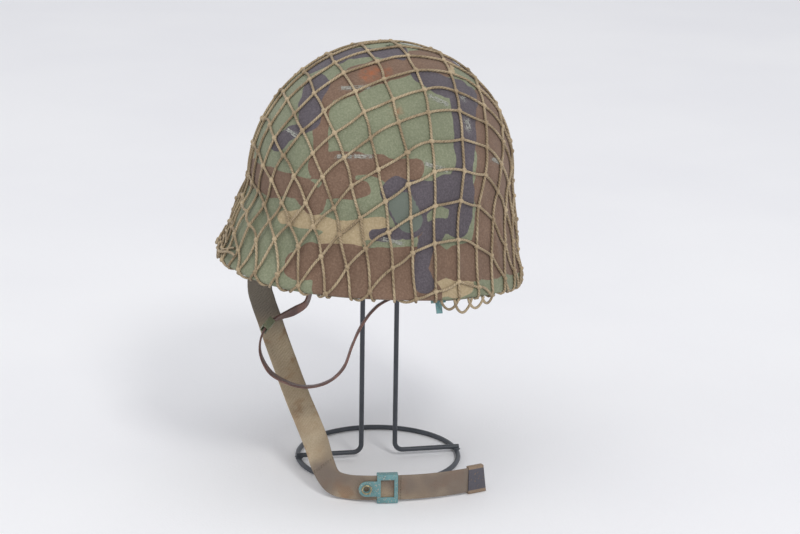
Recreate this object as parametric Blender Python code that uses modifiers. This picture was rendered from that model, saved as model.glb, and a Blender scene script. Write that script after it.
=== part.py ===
"""A steel combat helmet with a cloth cover, a string net and its straps, on a wire stand.

The helmet's front is at -Y and its wearer's left at +X. The origin is on the floor,
under the middle of the whole. All lengths are in metres.
"""
import math

import bmesh
import bpy
from mathutils import Matrix, Vector

# Steel shell: an oval dome over its equator, and a skirt that flares to the rim
DOME_HALF_WIDTH = 0.1015
DOME_HALF_LENGTH = 0.1185
DOME_RISE = 0.1055
RIM_FRONT = 0.1505
RIM_REAR = 0.1245
RIM_SIDE = 0.1180
SKIRT_DROP = 0.088
STEEL_THICK = 0.0012

# Liner: a second shell inside the first, whose rim stands off the steel by a gap
LINER_THICK = 0.0022
LINER_GAP_FRONT = 0.0083
LINER_GAP_REAR = 0.0043
LINER_GAP_SIDE = 0.0112
LINER_DROP_SHARE = 0.84

# Cloth cover over the steel, turned in under the rim
CLOTH_THICK = 0.0010
HEM_DEPTH = 0.006
BROW_LIFT = 0.0030
FOLD_LIFT = 0.0014

# String net over the cover
STRING_THICK = 0.0020
NET_COLUMN = 0.0335
NET_ROW = 0.0365
NET_STEP = 0.0190

# Flat layout of the net: its columns face NET_HEADING, and each row falls away on both sides
# of the middle column, in an arc and then in a straight slope
NET_HEADING = math.radians(50)
NET_EDGE_TURN = math.radians(50)
EQUATOR_SHARE = 0.78
ARC_REACH_SHARE = 0.43
EDGE_SHARE = 0.999
EDGE_EVENING = 12
CHORD_DIVISOR = 3.2

# Pose of the helmet on its stand
EQUATOR_HEIGHT = 0.2490
LEAN = math.radians(3.3)

# Web strap of the wearer's right, its slider, ring and end tip
WEB_WIDTH = 0.0210
WEB_THICK = 0.0020
SLIDER_LENGTH = 0.0170
SLIDER_BAR = 0.0030
SLIDER_WALL = 0.0015
SLIDER_PLAY = 0.0006
TAB_REACH = 0.0150
TAB_WIDTH = 0.0130
RING_RADIUS = 0.0036
RING_WIRE = 0.0012
TIP_LENGTH = 0.0170
TIP_WALL = 0.0009
TIP_GRIP = 0.0110
TIP_SLANT = 0.0030

# Bails inside the steel rim, which hold the web straps
BAIL_WIDTH = 0.0300
BAIL_HEIGHT = 0.0130
BAIL_WIRE = 0.0026
BAIL_CORNER = 0.0031
LUG_WALL = 0.0010
LUG_WIDTH = 0.0100
LUG_TAIL = 0.0070
LUG_SIDES = 12

# Short strap of the wearer's left, which runs forward inside the rim to its hook
LEFT_STRAP_FRONT = math.radians(55)
HOOK_LENGTH = 0.0120
HOOK_WALL = 0.0009
HOOK_DROP = 0.0030
HOOK_TONGUE = 0.0080
LEFT_STRAP_STATIONS = 7

# Leather strap of the liner
LEATHER_WIDTH = 0.0120
LEATHER_THICK = 0.0017
STUD_RADIUS = 0.0040
STUD_HEIGHT = 0.0016
STUD_PLACE = 1.78
STRAP_END = 0.0060
STRAP_STAND_OFF = 0.0014
BUCKLE_LENGTH = 0.0100
BUCKLE_WALL = 0.0010
BUCKLE_PLAY = 0.0012

# Wire stand
RING_CENTRE_RADIUS = 0.0680
STAND_WIRE = 0.0041
UPRIGHT_GAP = 0.0290
FOOT_BEND = 0.0070
ARCH_HALF_WIDTH = 0.0480
UPRIGHT_TOP = 0.1500
ARCH_SEAT_DROP = 0.00035
STAND_HEADING = math.radians(41.6)
WELD_SINK = 0.0007
FLARE_STEPS = 8
ARCH_STEPS = 9

# The stand's axis lies behind the middle of the whole
STAND_SETBACK = 0.0140
STAND_SIDE = 0.0045

CLEARANCE = 0.0003
SHELL_CLEARANCE = 0.0004
MERGE = 0.00001

SEGMENTS = 40
LINER_SEGMENTS = 20
DOME_ROWS = 7
SKIRT_ROWS = 4
SKIRT_CURL_FRONT = 2.2
SKIRT_CURL_SIDE = 1.3

# Rim of the steel: angle from the front in degrees, drop below the equator as a share of SKIRT_DROP
RIM_DROPS = (
    (0, 0.660),
    (30, 0.680),
    (60, 0.765),
    (90, 0.850),
    (120, 0.960),
    (150, 1.000),
    (180, 0.970),
)

# Folds of the cloth at the brow: angle from the front in degrees, height as a share of FOLD_LIFT
BROW_FOLDS = (
    (-60, 1.0),
    (-30, 0.8),
    (-7.5, 0.6),
    (22.5, 0.9),
    (52.5, 0.7),
)
FOLD_HALF_ANGLE = 11.0

# Route of the web strap from the bail to its tip, measured from the stand's axis, in millimetres:
# x, y, z, then the direction of its width
WEB_ROUTE = (
    (-117, -4, 136, 0.87, 0.50, 0.00),
    (-113, -5, 121, 0.87, 0.50, 0.00),
    (-105, -7, 106, 0.87, 0.50, 0.05),
    (-94, -13, 91, 0.86, 0.48, 0.10),
    (-82, -20, 77, 0.86, 0.48, 0.12),
    (-68, -30, 64, 0.86, 0.48, 0.15),
    (-52, -43, 53, 0.85, 0.48, 0.20),
    (-34, -58, 43, 0.85, 0.45, 0.25),
    (-15, -75, 33, 0.80, 0.42, 0.40),
    (1, -90, 22, 0.68, 0.35, 0.60),
    (16, -99.5, 14, 0.38, 0.20, 0.90),
    (30, -99, 12, 0.08, 0.02, 1.00),
    (46, -94, 12.6, 0.00, 0.00, 1.00),
    (62, -84, 12.8, 0.00, 0.00, 1.00),
    (78, -70, 12.5, 0.00, 0.00, 1.00),
    (91, -55, 12.1, 0.00, 0.00, 1.00),
    (102, -40, 12.1, 0.00, 0.00, 1.00),
    (111, -25, 12.1, 0.00, 0.00, 1.00),
)
SLIDER_ROW = 13

# Route of the leather strap between its studs: x as a share of the studs' reach, y in millimetres,
# z in millimetres over the helmet's equator, then the direction of its width
LEATHER_ROUTE = (
    (0.935, -5, -73, 0.05, -1.00, 0.00),
    (0.884, -17, -77, 0.10, -1.00, 0.00),
    (0.773, -28, -80, 0.30, -0.95, 0.00),
    (0.610, -37, -83, 0.45, -0.88, 0.10),
    (0.437, -46, -87, 0.50, -0.86, 0.20),
    (0.295, -54, -96, 0.50, -0.84, 0.20),
    (0.203, -62, -111, 0.50, -0.84, 0.10),
    (0.142, -67, -128, 0.50, -0.86, 0.10),
    (0.081, -70, -147, 0.50, -0.86, 0.10),
    (-0.051, -72, -161, 0.48, -0.86, 0.20),
    (-0.243, -73, -169, 0.45, -0.86, 0.20),
    (-0.448, -72, -170, 0.45, -0.86, 0.20),
    (-0.651, -69, -165, 0.48, -0.86, 0.10),
    (-0.783, -64, -153, 0.50, -0.84, 0.10),
    (-0.823, -57, -140, 0.50, -0.82, 0.20),
    (-0.802, -47, -130, 0.47, -0.78, 0.36),
    (-0.742, -37, -126, 0.38, -0.68, 0.58),
    (-0.681, -27, -123, 0.25, -0.60, 0.75),
    (-0.630, -17, -118, 0.25, -0.80, 0.50),
    (-0.651, -9, -106, 0.20, -0.95, 0.20),
    (-0.762, -3, -90, 0.10, -1.00, 0.00),
    (-0.884, -1, -75, 0.05, -1.00, 0.00),
    (-0.945, 0, -65, 0.00, -1.00, 0.00),
)
BUCKLE_ROW = 15
RIBBON_STEP = 0.0080
MILLIMETRE = 0.001


def new_material(name, colour, roughness, metallic):
    """A plain Principled material."""
    material = bpy.data.materials.new(name)
    material.use_nodes = True
    shader = material.node_tree.nodes["Principled BSDF"]
    shader.inputs["Base Color"].default_value = (*colour, 1)
    shader.inputs["Roughness"].default_value = roughness
    shader.inputs["Metallic"].default_value = metallic
    return material


def new_object(name, data, parent, place=None):
    """An object with its data in the helmet's collection, under a parent empty."""
    piece = bpy.data.objects.new(name, data)
    parts.objects.link(piece)
    piece.parent = parent
    if place is not None:
        piece.matrix_local = place
    return piece


def new_mesh(name, points, faces, material):
    """A mesh from points and faces, with its material."""
    mesh = bpy.data.meshes.new(name)
    mesh.from_pydata(points, [], faces)
    mesh.materials.append(material)
    return mesh


def add_solidify(piece, thickness, offset):
    """Give an open surface its wall."""
    wall = piece.modifiers.new("wall", "SOLIDIFY")
    wall.thickness = thickness
    wall.offset = offset
    wall.use_even_offset = True


def add_cut(piece, cutter, operation="DIFFERENCE"):
    """Cut a piece with another, or join the other to it."""
    cut = piece.modifiers.new(cutter.name, "BOOLEAN")
    cut.object = cutter
    cut.operation = operation
    cutter.hide_render = True
    cutter.display_type = "WIRE"
    parts.objects.unlink(cutter)
    cutters.objects.link(cutter)


def box_mesh(name, size, material):
    """A box round its middle."""
    mesh = bpy.data.meshes.new(name)
    form = bmesh.new()
    bmesh.ops.create_cube(form, size=1)
    bmesh.ops.scale(form, vec=size, verts=form.verts)
    form.to_mesh(mesh)
    form.free()
    mesh.materials.append(material)
    return mesh


def rod_mesh(name, radius, length, sides, material):
    """A cylinder round its middle, along Z."""
    mesh = bpy.data.meshes.new(name)
    form = bmesh.new()
    bmesh.ops.create_cone(
        form, cap_ends=True, segments=sides, radius1=radius, radius2=radius, depth=length
    )
    form.to_mesh(mesh)
    form.free()
    mesh.materials.append(material)
    return mesh


def oval(angle, front, rear, side):
    """Reach of an oval whose front and rear halves differ, at an angle from the front."""
    along = front if math.cos(angle) > 0 else rear
    return 1 / math.hypot(math.cos(angle) / along, math.sin(angle) / side)


def smooth_table(table, at):
    """A smooth curve through a two-column table, level at both ends."""
    last = len(table) - 1
    row = max(k for k in range(last) if table[k][0] <= at or k == 0)
    before = table[max(row - 1, 0)][1] if row > 0 else table[1][1]
    after = table[row + 2][1] if row + 2 <= last else table[last - 1][1]
    low, high = table[row][1], table[row + 1][1]
    along = (at - table[row][0]) / (table[row + 1][0] - table[row][0])
    slope_low = (high - before) / 2
    slope_high = (after - low) / 2
    cube, square = along ** 3, along ** 2
    return (
        low * (2 * cube - 3 * square + 1)
        + high * (3 * square - 2 * cube)
        + slope_low * (cube - 2 * square + along)
        + slope_high * (cube - square)
    )


def rim_drop(angle):
    """How far the steel's rim lies below the equator."""
    degrees = abs(math.degrees(math.atan2(math.sin(angle), math.cos(angle))))
    return SKIRT_DROP * smooth_table(RIM_DROPS, degrees)


def skirt_curl(angle):
    """How late the skirt turns outward on its way down: more under the brow than at the sides."""
    front = max(math.cos(angle), 0) ** 2
    return SKIRT_CURL_SIDE + (SKIRT_CURL_FRONT - SKIRT_CURL_SIDE) * front


def steel_profile(angle, place):
    """Reach and height of the steel's outer face: place 0 at the crown, 1 at the equator, 2 at the rim."""
    dome = oval(angle, DOME_HALF_LENGTH, DOME_HALF_LENGTH, DOME_HALF_WIDTH)
    if place <= 1:
        turn = place * math.pi / 2
        return dome * math.sin(turn), DOME_RISE * math.cos(turn)
    down = place - 1
    flare = oval(angle, RIM_FRONT, RIM_REAR, RIM_SIDE) - dome
    return dome + flare * down ** skirt_curl(angle), -rim_drop(angle) * down


def liner_profile(angle, place):
    """Reach and height of the liner's outer face, under the steel in the dome."""
    inset = STEEL_THICK + SHELL_CLEARANCE
    dome = oval(angle, DOME_HALF_LENGTH, DOME_HALF_LENGTH, DOME_HALF_WIDTH) - inset
    if place <= 1:
        turn = place * math.pi / 2
        return dome * math.sin(turn), (DOME_RISE - inset) * math.cos(turn)
    down = place - 1
    steel_reach, steel_height = steel_profile(angle, 1 + LINER_DROP_SHARE)
    flare = steel_reach - oval(angle, LINER_GAP_FRONT, LINER_GAP_REAR, LINER_GAP_SIDE) - dome
    return dome + flare * down ** skirt_curl(angle), steel_height * down


def meridian_frame(profile, angle, place):
    """Point, outward normal and downward direction of a profile, as reach and height pairs."""
    step = 0.002
    first = profile(angle, max(place - step, 0))
    second = profile(angle, min(place + step, 2))
    down = Vector((second[0] - first[0], second[1] - first[1])).normalized()
    return Vector(profile(angle, place)), Vector((-down.y, down.x)), down


def turned(angle, reach_height):
    """The point at an angle from the front, with a reach and a height."""
    reach, height = reach_height
    return Vector((reach * math.sin(angle), -reach * math.cos(angle), height))


def steel_point(angle, place, offset=0.0):
    """A point at an offset from the steel's outer face."""
    point, normal, _ = meridian_frame(steel_profile, angle, place)
    return turned(angle, point + normal * offset)


def rim_point(angle, turn, distance):
    """A point round the steel's rim edge: turn 0 points outward, a quarter turn down."""
    point, normal, down = meridian_frame(steel_profile, angle, 2)
    middle = point - normal * STEEL_THICK / 2
    return turned(angle, middle + (normal * math.cos(turn) + down * math.sin(turn)) * distance)


def cloth_lift(angle, place):
    """How far the cloth stands off the steel: it bridges the brow and makes a few folds there."""
    if place <= 1:
        return 0.0
    down = place - 1
    bulge = math.sin(math.pi * min(down, 1)) ** 2
    degrees = math.degrees(math.atan2(math.sin(angle), math.cos(angle)))
    lift = BROW_LIFT * max(math.cos(angle), 0) ** 2
    for fold_angle, share in BROW_FOLDS:
        away = abs(degrees - fold_angle) / FOLD_HALF_ANGLE
        if away < 1:
            lift += FOLD_LIFT * share * math.cos(away * math.pi / 2) ** 2
    return lift * bulge


def dome_mesh(name, rows, segments, material):
    """An open dome from rows of points round the axis: the first row is one point at the crown."""
    points = [rows[0](0.0)]
    for row in rows[1:]:
        points += [row(math.tau * k / segments) for k in range(segments)]
    faces = [(0, 1 + k, 1 + (k + 1) % segments) for k in range(segments)]
    for ring in range(len(rows) - 2):
        upper = 1 + ring * segments
        lower = upper + segments
        for k in range(segments):
            following = (k + 1) % segments
            faces.append((upper + k, lower + k, lower + following, upper + following))
    return new_mesh(name, points, faces, material)


def place_rows():
    """Places from the crown to the rim."""
    dome = [row / DOME_ROWS for row in range(DOME_ROWS + 1)]
    skirt = [1 + row / SKIRT_ROWS for row in range(1, SKIRT_ROWS + 1)]
    return dome + skirt


def make_steel_shell(parent):
    """The pressed steel outer shell."""
    rows = [lambda angle, place=place: steel_point(angle, place) for place in place_rows()]
    mesh = dome_mesh("steel_shell", rows, SEGMENTS, painted_steel)
    shell = new_object("steel_shell", mesh, parent)
    add_solidify(shell, STEEL_THICK, -1)


def make_liner(parent):
    """The moulded liner inside the steel."""
    rows = [
        lambda angle, place=place: turned(angle, liner_profile(angle, place))
        for place in place_rows()
    ]
    mesh = dome_mesh("liner", rows, LINER_SEGMENTS, moulded_liner)
    liner = new_object("liner", mesh, parent)
    add_solidify(liner, LINER_THICK, -1)


def make_cover(parent):
    """The cloth cover, turned round the rim edge and in under it."""
    stand_off = SHELL_CLEARANCE + CLOTH_THICK / 2

    def outside(place):
        return lambda angle: steel_point(angle, place, stand_off + cloth_lift(angle, place))

    def round_edge(turn):
        return lambda angle: rim_point(angle, turn, STEEL_THICK / 2 + stand_off)

    def inside(depth):
        def point(angle):
            place = 2 - depth / rim_drop(angle)
            return steel_point(angle, place, -STEEL_THICK - stand_off)
        return point

    rows = [outside(place) for place in place_rows()]
    rows += [round_edge(math.radians(turn)) for turn in (60, 120)]
    rows += [inside(0), inside(HEM_DEPTH)]
    mesh = dome_mesh("cover", rows, SEGMENTS, camouflage_cloth)
    cover = new_object("cover", mesh, parent)
    add_solidify(cover, CLOTH_THICK, 0)


def net_flat_radius():
    """Radius of the flat disc that covers the helmet down to its rim with the same area."""
    return math.sqrt(2 * DOME_HALF_LENGTH * DOME_HALF_WIDTH) / EQUATOR_SHARE


def net_row_fall(across):
    """How much lower a row lies at a distance from the middle column."""
    reach = ARC_REACH_SHARE * net_flat_radius()
    away = abs(across)
    if away <= reach:
        return away ** 2 / (2 * reach)
    return reach / 2 + (away - reach)


def net_place(share):
    """Place on the profile for a share of the flat disc's radius, keeping the area."""
    if share <= EQUATOR_SHARE:
        return math.asin(share / (EQUATOR_SHARE * math.sqrt(2))) * 4 / math.pi
    return 1 + (share ** 2 - EQUATOR_SHARE ** 2) / (1 - EQUATOR_SHARE ** 2)


def net_surface_point(flat):
    """Where a point of the flat layout lies on the cover."""
    share = flat.length / net_flat_radius()
    angle = math.atan2(flat.x, flat.y) + NET_HEADING
    chord_rise = NET_STEP ** 2 / (CHORD_DIVISOR * DOME_HALF_WIDTH)
    stand_off = SHELL_CLEARANCE + CLOTH_THICK + STRING_THICK / 2 + CLEARANCE + chord_rise
    if share > EDGE_SHARE:
        return rim_point(angle, NET_EDGE_TURN, STEEL_THICK / 2 + stand_off + chord_rise)
    place = net_place(share)
    return steel_point(angle, place, stand_off + cloth_lift(angle, place))


def make_net(parent):
    """The knotted string net, one lattice of strings whose edge runs round the rim."""
    radius = net_flat_radius()
    reach = int(radius / NET_COLUMN) + 2
    rows = int(2 * radius / NET_ROW) + 2

    def knot(column, row):
        across = column * NET_COLUMN
        return Vector((across, row * NET_ROW + net_row_fall(across)))

    cells = []
    for column in range(-reach, reach):
        for row in range(-rows, rows):
            corners = [(column, row), (column + 1, row), (column + 1, row + 1), (column, row + 1)]
            middle = sum((knot(*corner) for corner in corners), Vector((0, 0))) / 4
            if middle.length < radius - NET_ROW / 4:
                cells.append(corners)

    uses = {}
    for corners in cells:
        for first, second in zip(corners, corners[1:] + corners[:1]):
            edge = tuple(sorted((first, second)))
            uses[edge] = uses.get(edge, 0) + 1
    edge_strings = [edge for edge, count in uses.items() if count == 1]
    flat_places = even_edge_knots(edge_strings, knot, radius)

    points = []
    numbers = {}

    def number_of(key, flat):
        if key not in numbers:
            numbers[key] = len(points)
            points.append(net_surface_point(flat))
        return numbers[key]

    faces = []
    for corners in cells:
        face = []
        for first, second in zip(corners, corners[1:] + corners[:1]):
            start = flat_places.get(first) or knot(*first)
            end = flat_places.get(second) or knot(*second)
            edge = tuple(sorted((first, second)))
            face.append(number_of(first, start))
            parts_of_string = max(2, round((end - start).length / NET_STEP))
            for part in range(1, parts_of_string):
                between = start.lerp(end, part / parts_of_string)
                if uses[edge] == 1:
                    between = between.normalized() * radius
                step = part if first < second else parts_of_string - part
                face.append(number_of((edge, step), between))
        faces.append(face)

    mesh = new_mesh("net", points, faces, string)
    open_meshes(mesh)
    net = new_object("net", mesh, parent)
    add_solidify(net, STRING_THICK, 0)


def even_edge_knots(edge_strings, knot, radius):
    """The net's outermost knots, spread evenly along its edge."""
    neighbours = {}
    for first, second in edge_strings:
        neighbours.setdefault(first, []).append(second)
        neighbours.setdefault(second, []).append(first)
    places = {corner: knot(*corner).normalized() for corner in neighbours}
    for _ in range(EDGE_EVENING):
        places = {
            corner: (places[corner] * 2 + sum((places[n] for n in near), Vector((0, 0)))).normalized()
            for corner, near in neighbours.items()
        }
    return {corner: place * radius for corner, place in places.items()}


def open_meshes(mesh):
    """Leave only a band as wide as half a string along every edge of each cell."""
    form = bmesh.new()
    form.from_mesh(mesh)
    bmesh.ops.inset_individual(form, faces=form.faces, thickness=STRING_THICK / 2, use_even_offset=True)
    cells = [face for face in form.faces if len(face.verts) > 4]
    bmesh.ops.delete(form, geom=cells, context="FACES_ONLY")
    form.to_mesh(mesh)
    form.free()


def curve_through(route, step):
    """Points at equal steps on a smooth curve through a route, each with its width direction."""
    rows = [tuple(row) for row in route]
    first = tuple(2 * a - b for a, b in zip(rows[0], rows[1]))
    last = tuple(2 * a - b for a, b in zip(rows[-1], rows[-2]))
    rows = [first] + rows + [last]
    fine = []
    for k in range(1, len(rows) - 2):
        for part in range(8):
            t = part / 8
            fine.append([
                (2 * b + (c - a) * t + (2 * a - 5 * b + 4 * c - d) * t ** 2
                 + (3 * b - a - 3 * c + d) * t ** 3) / 2
                for a, b, c, d in zip(rows[k - 1], rows[k], rows[k + 1], rows[k + 2])
            ])
    fine.append(list(rows[-2]))
    lengths = [0.0]
    for before, after in zip(fine, fine[1:]):
        lengths.append(lengths[-1] + (Vector(after[:3]) - Vector(before[:3])).length)
    count = max(2, round(lengths[-1] / step))
    stations = []
    for k in range(count + 1):
        at = lengths[-1] * k / count
        row = min(max(j for j in range(len(fine)) if lengths[j] <= at + 1e-12), len(fine) - 2)
        along = (at - lengths[row]) / (lengths[row + 1] - lengths[row])
        values = [a + (b - a) * along for a, b in zip(fine[row], fine[row + 1])]
        stations.append((Vector(values[:3]), Vector(values[3:])))
    return stations


def ribbon_frames(stations):
    """Tangent, width direction and face normal at each station of a ribbon."""
    frames = []
    for k, (point, width) in enumerate(stations):
        before = stations[max(k - 1, 0)][0]
        after = stations[min(k + 1, len(stations) - 1)][0]
        tangent = (after - before).normalized()
        side = (width - tangent * width.dot(tangent)).normalized()
        frames.append((point, tangent, side, tangent.cross(side)))
    return frames


def make_ribbon(name, frames, width, thickness, material, parent):
    """A flat strap: an open strip along its frames, then a wall."""
    points = []
    for point, _, side, _ in frames:
        points.append(point - side * width / 2)
        points.append(point + side * width / 2)
    faces = [(2 * k, 2 * k + 1, 2 * k + 3, 2 * k + 2) for k in range(len(frames) - 1)]
    ribbon = new_object(name, new_mesh(name, points, faces, material), parent)
    add_solidify(ribbon, thickness, 0)
    return ribbon


def web_route():
    """The web strap's route in metres, its width directions as they are."""
    return [tuple(v * MILLIMETRE for v in row[:3]) + row[3:] for row in WEB_ROUTE]


def leather_route():
    """The leather strap's route in metres, as wide as the studs stand apart."""
    reach = stud_stations(1)[1][0].x
    return [
        (x * reach, y * MILLIMETRE, EQUATOR_HEIGHT + z * MILLIMETRE, *width)
        for x, y, z, *width in LEATHER_ROUTE
    ]


def frame_matrix(frame):
    """A local frame on a ribbon: X along it, Y through it, Z across its width."""
    point, tangent, side, normal = frame
    turn = Matrix((tangent, side.cross(tangent), side)).transposed()
    return Matrix.Translation(point) @ turn.to_4x4()


def strap_wrap_points(bar, forward, hanging):
    """Points of a strap's loop round a bar, from its sewn tail behind to its front."""
    radius = BAIL_WIRE / 2 + CLEARANCE + WEB_THICK / 2
    beside = radius - WEB_THICK - CLEARANCE
    points = [bar + forward * beside - Vector((0, 0, hanging))]
    for turn in (0, 45, 90, 135, 180):
        at = math.radians(turn)
        points.append(bar + (Vector((0, 0, math.sin(at))) - forward * math.cos(at)) * radius)
    return points


def bail_hinge(side):
    """Middle of a bail's upper bar, with the outward and downward directions of the wall there."""
    angle = side * math.pi / 2
    place = 2 - BAIL_HEIGHT / rim_drop(angle)
    _, normal, down = meridian_frame(steel_profile, angle, place)
    inset = STEEL_THICK + CLEARANCE + LUG_WALL + CLEARANCE + BAIL_WIRE
    hinge = steel_point(angle, place, -inset)
    return hinge, turned(angle, normal), turned(angle, down)


def poly_curve(name, outline, wire, cyclic, material, sides=1):
    """A round wire along points."""
    curve = bpy.data.curves.new(name, "CURVE")
    curve.dimensions = "3D"
    curve.bevel_depth = wire / 2
    curve.bevel_resolution = sides
    curve.use_fill_caps = True
    spline = curve.splines.new("POLY")
    spline.points.add(len(outline) - 1)
    for point, place in zip(spline.points, outline):
        point.co = (*place, 1)
    spline.use_cyclic_u = cyclic
    curve.materials.append(material)
    return curve


def make_bail(side, name, parent):
    """A wire bail inside the rim."""
    hinge, _, _ = bail_hinge(side)
    half = BAIL_WIDTH / 2
    corner = BAIL_CORNER
    outline = []
    for centre_y, centre_z, start in (
        (half - corner, -corner, 0),
        (-half + corner, -corner, 90),
        (-half + corner, -BAIL_HEIGHT + corner, 180),
        (half - corner, -BAIL_HEIGHT + corner, 270),
    ):
        for turn in (0, 45, 90):
            at = math.radians(start + turn)
            outline.append((0, centre_y + corner * math.cos(at), centre_z + corner * math.sin(at)))
    curve = poly_curve(name, outline, BAIL_WIRE, True, bail_metal)
    new_object(name, curve, parent, Matrix.Translation(hinge))


def make_lug(side, name, parent):
    """The folded lug that holds a bail's upper bar, with its tail flat on the steel."""
    hinge, outward, down = bail_hinge(side)
    along = outward.cross(-down)
    turn = Matrix((outward, along, -down)).transposed().to_4x4()
    place = Matrix.Translation(hinge) @ turn
    bore = BAIL_WIRE / 2 + CLEARANCE
    sleeve = bore + LUG_WALL
    lying = Matrix.Rotation(math.pi / 2, 4, "X")
    lug = new_object(name, rod_mesh(name, sleeve, LUG_WIDTH, LUG_SIDES, painted_steel), parent, place @ lying)
    facet_dip = LUG_WIDTH / 2 * math.tan(math.pi / SEGMENTS)
    wall = BAIL_WIRE + LUG_WALL + CLEARANCE - bore - facet_dip
    tail_mesh = box_mesh(name + "_tail", (wall, LUG_WIDTH, LUG_TAIL + sleeve / 2), painted_steel)
    tail_middle = Matrix.Translation((bore + wall / 2 - CLEARANCE / 2, 0, LUG_TAIL / 2))
    tail = new_object(name + "_tail", tail_mesh, parent, place @ tail_middle)
    hole = new_object(name + "_bore", rod_mesh(name + "_bore", bore, BAIL_WIDTH, LUG_SIDES, painted_steel),
                      parent, place @ lying)
    add_cut(lug, tail, "UNION")
    add_cut(lug, hole)


def make_sleeve(name, size, slot, slot_shift, material, parent, place):
    """A block with a slot through it for a strap."""
    block = new_object(name, box_mesh(name, size, material), parent, place)
    slot_place = place @ Matrix.Translation((slot_shift, 0, 0))
    cutter = new_object(name + "_slot", box_mesh(name + "_slot", slot, material), parent, slot_place)
    add_cut(block, cutter)
    return block


def make_web_strap_right(parent):
    """The web strap that hangs from the wearer's right bail and lies on edge on the floor."""
    hinge, outward, _ = bail_hinge(-1)
    bar = hinge - Vector((0, 0, BAIL_HEIGHT))
    forward = Vector((outward.x, 0, 0)).normalized()
    across = Vector((0.0, 1.0, 0.0))
    wrap = [helmet_place @ point for point in strap_wrap_points(bar, forward, WEB_WIDTH)]
    route = [tuple(wrap[-1]) + tuple(across)] + web_route()
    stations = [(point, across) for point in wrap[:-1]] + curve_through(route, RIBBON_STEP)
    frames = ribbon_frames(stations)
    make_ribbon("web_strap_right", frames, WEB_WIDTH, WEB_THICK, webbing, parent)
    return frames


def station_at(frames, row):
    """The frame nearest to a row of a route."""
    place = Vector(row[:3])
    return min(frames, key=lambda frame: (frame[0] - place).length)


def make_slider(frames, parent):
    """The slider frame on the web strap, its round tab and the tab's ring."""
    place = frame_matrix(station_at(frames, web_route()[SLIDER_ROW]))
    depth = WEB_THICK + 2 * (SLIDER_PLAY + SLIDER_WALL)
    height = WEB_WIDTH + 2 * (CLEARANCE + SLIDER_WALL)
    slot = (SLIDER_LENGTH * 2, WEB_THICK + 2 * SLIDER_PLAY, WEB_WIDTH + 2 * CLEARANCE)
    slider = make_sleeve(
        "slider_buckle", (SLIDER_LENGTH, depth, height), slot, 0, teal_paint, parent, place
    )
    window_size = (SLIDER_LENGTH - 2 * SLIDER_BAR, depth * 2, WEB_WIDTH - 2 * SLIDER_BAR)
    window = new_object("slider_window", box_mesh("slider_window", window_size, teal_paint), parent, place)
    front = -depth / 2 + SLIDER_WALL / 2
    straight = TAB_REACH - TAB_WIDTH / 2
    tab_size = (straight + SLIDER_BAR, SLIDER_WALL, TAB_WIDTH)
    tab_middle = Matrix.Translation((-SLIDER_LENGTH / 2 - straight / 2 + SLIDER_BAR / 2, front, 0))
    tab = new_object("slider_tab", box_mesh("slider_tab", tab_size, teal_paint), parent, place @ tab_middle)
    lying = Matrix.Rotation(math.pi / 2, 4, "X")
    end_place = place @ Matrix.Translation((-SLIDER_LENGTH / 2 - straight, front, 0)) @ lying
    end_mesh = rod_mesh("slider_tab_end", TAB_WIDTH / 2, SLIDER_WALL, 20, teal_paint)
    tab_end = new_object("slider_tab_end", end_mesh, parent, end_place)
    hole_mesh = rod_mesh("slider_hole", RING_RADIUS - RING_WIRE, SLIDER_WALL * 3, 12, teal_paint)
    hole = new_object("slider_hole", hole_mesh, parent, end_place)
    add_cut(slider, window)
    add_cut(slider, tab, "UNION")
    add_cut(slider, tab_end, "UNION")
    add_cut(slider, hole)
    ring_lift = Matrix.Translation((0, 0, SLIDER_WALL / 2 + RING_WIRE / 2 + CLEARANCE))
    circle = [
        (RING_RADIUS * math.cos(math.tau * k / 16), RING_RADIUS * math.sin(math.tau * k / 16), 0)
        for k in range(16)
    ]
    ring_curve = poly_curve("slider_ring", circle, RING_WIRE, True, brass)
    new_object("slider_ring", ring_curve, parent, end_place @ ring_lift)


def make_strap_tip(frames, parent):
    """The folded metal tip that grips the web strap's free end."""
    place = frame_matrix(frames[-1])
    depth = WEB_THICK + 2 * (CLEARANCE + TIP_WALL)
    height = WEB_WIDTH + 2 * (CLEARANCE + TIP_WALL)
    middle = place @ Matrix.Translation((TIP_LENGTH / 2 - TIP_GRIP, 0, 0))
    slot = (TIP_LENGTH, WEB_THICK + 2 * CLEARANCE, WEB_WIDTH + 2 * CLEARANCE)
    slot_shift = TIP_GRIP - TIP_LENGTH + CLEARANCE
    tip = make_sleeve("strap_tip", (TIP_LENGTH, depth, height), slot, slot_shift, tip_metal, parent, middle)
    for corner in tip.data.vertices:
        if corner.co.x > 0 and corner.co.z > 0:
            corner.co.x -= TIP_SLANT


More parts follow.
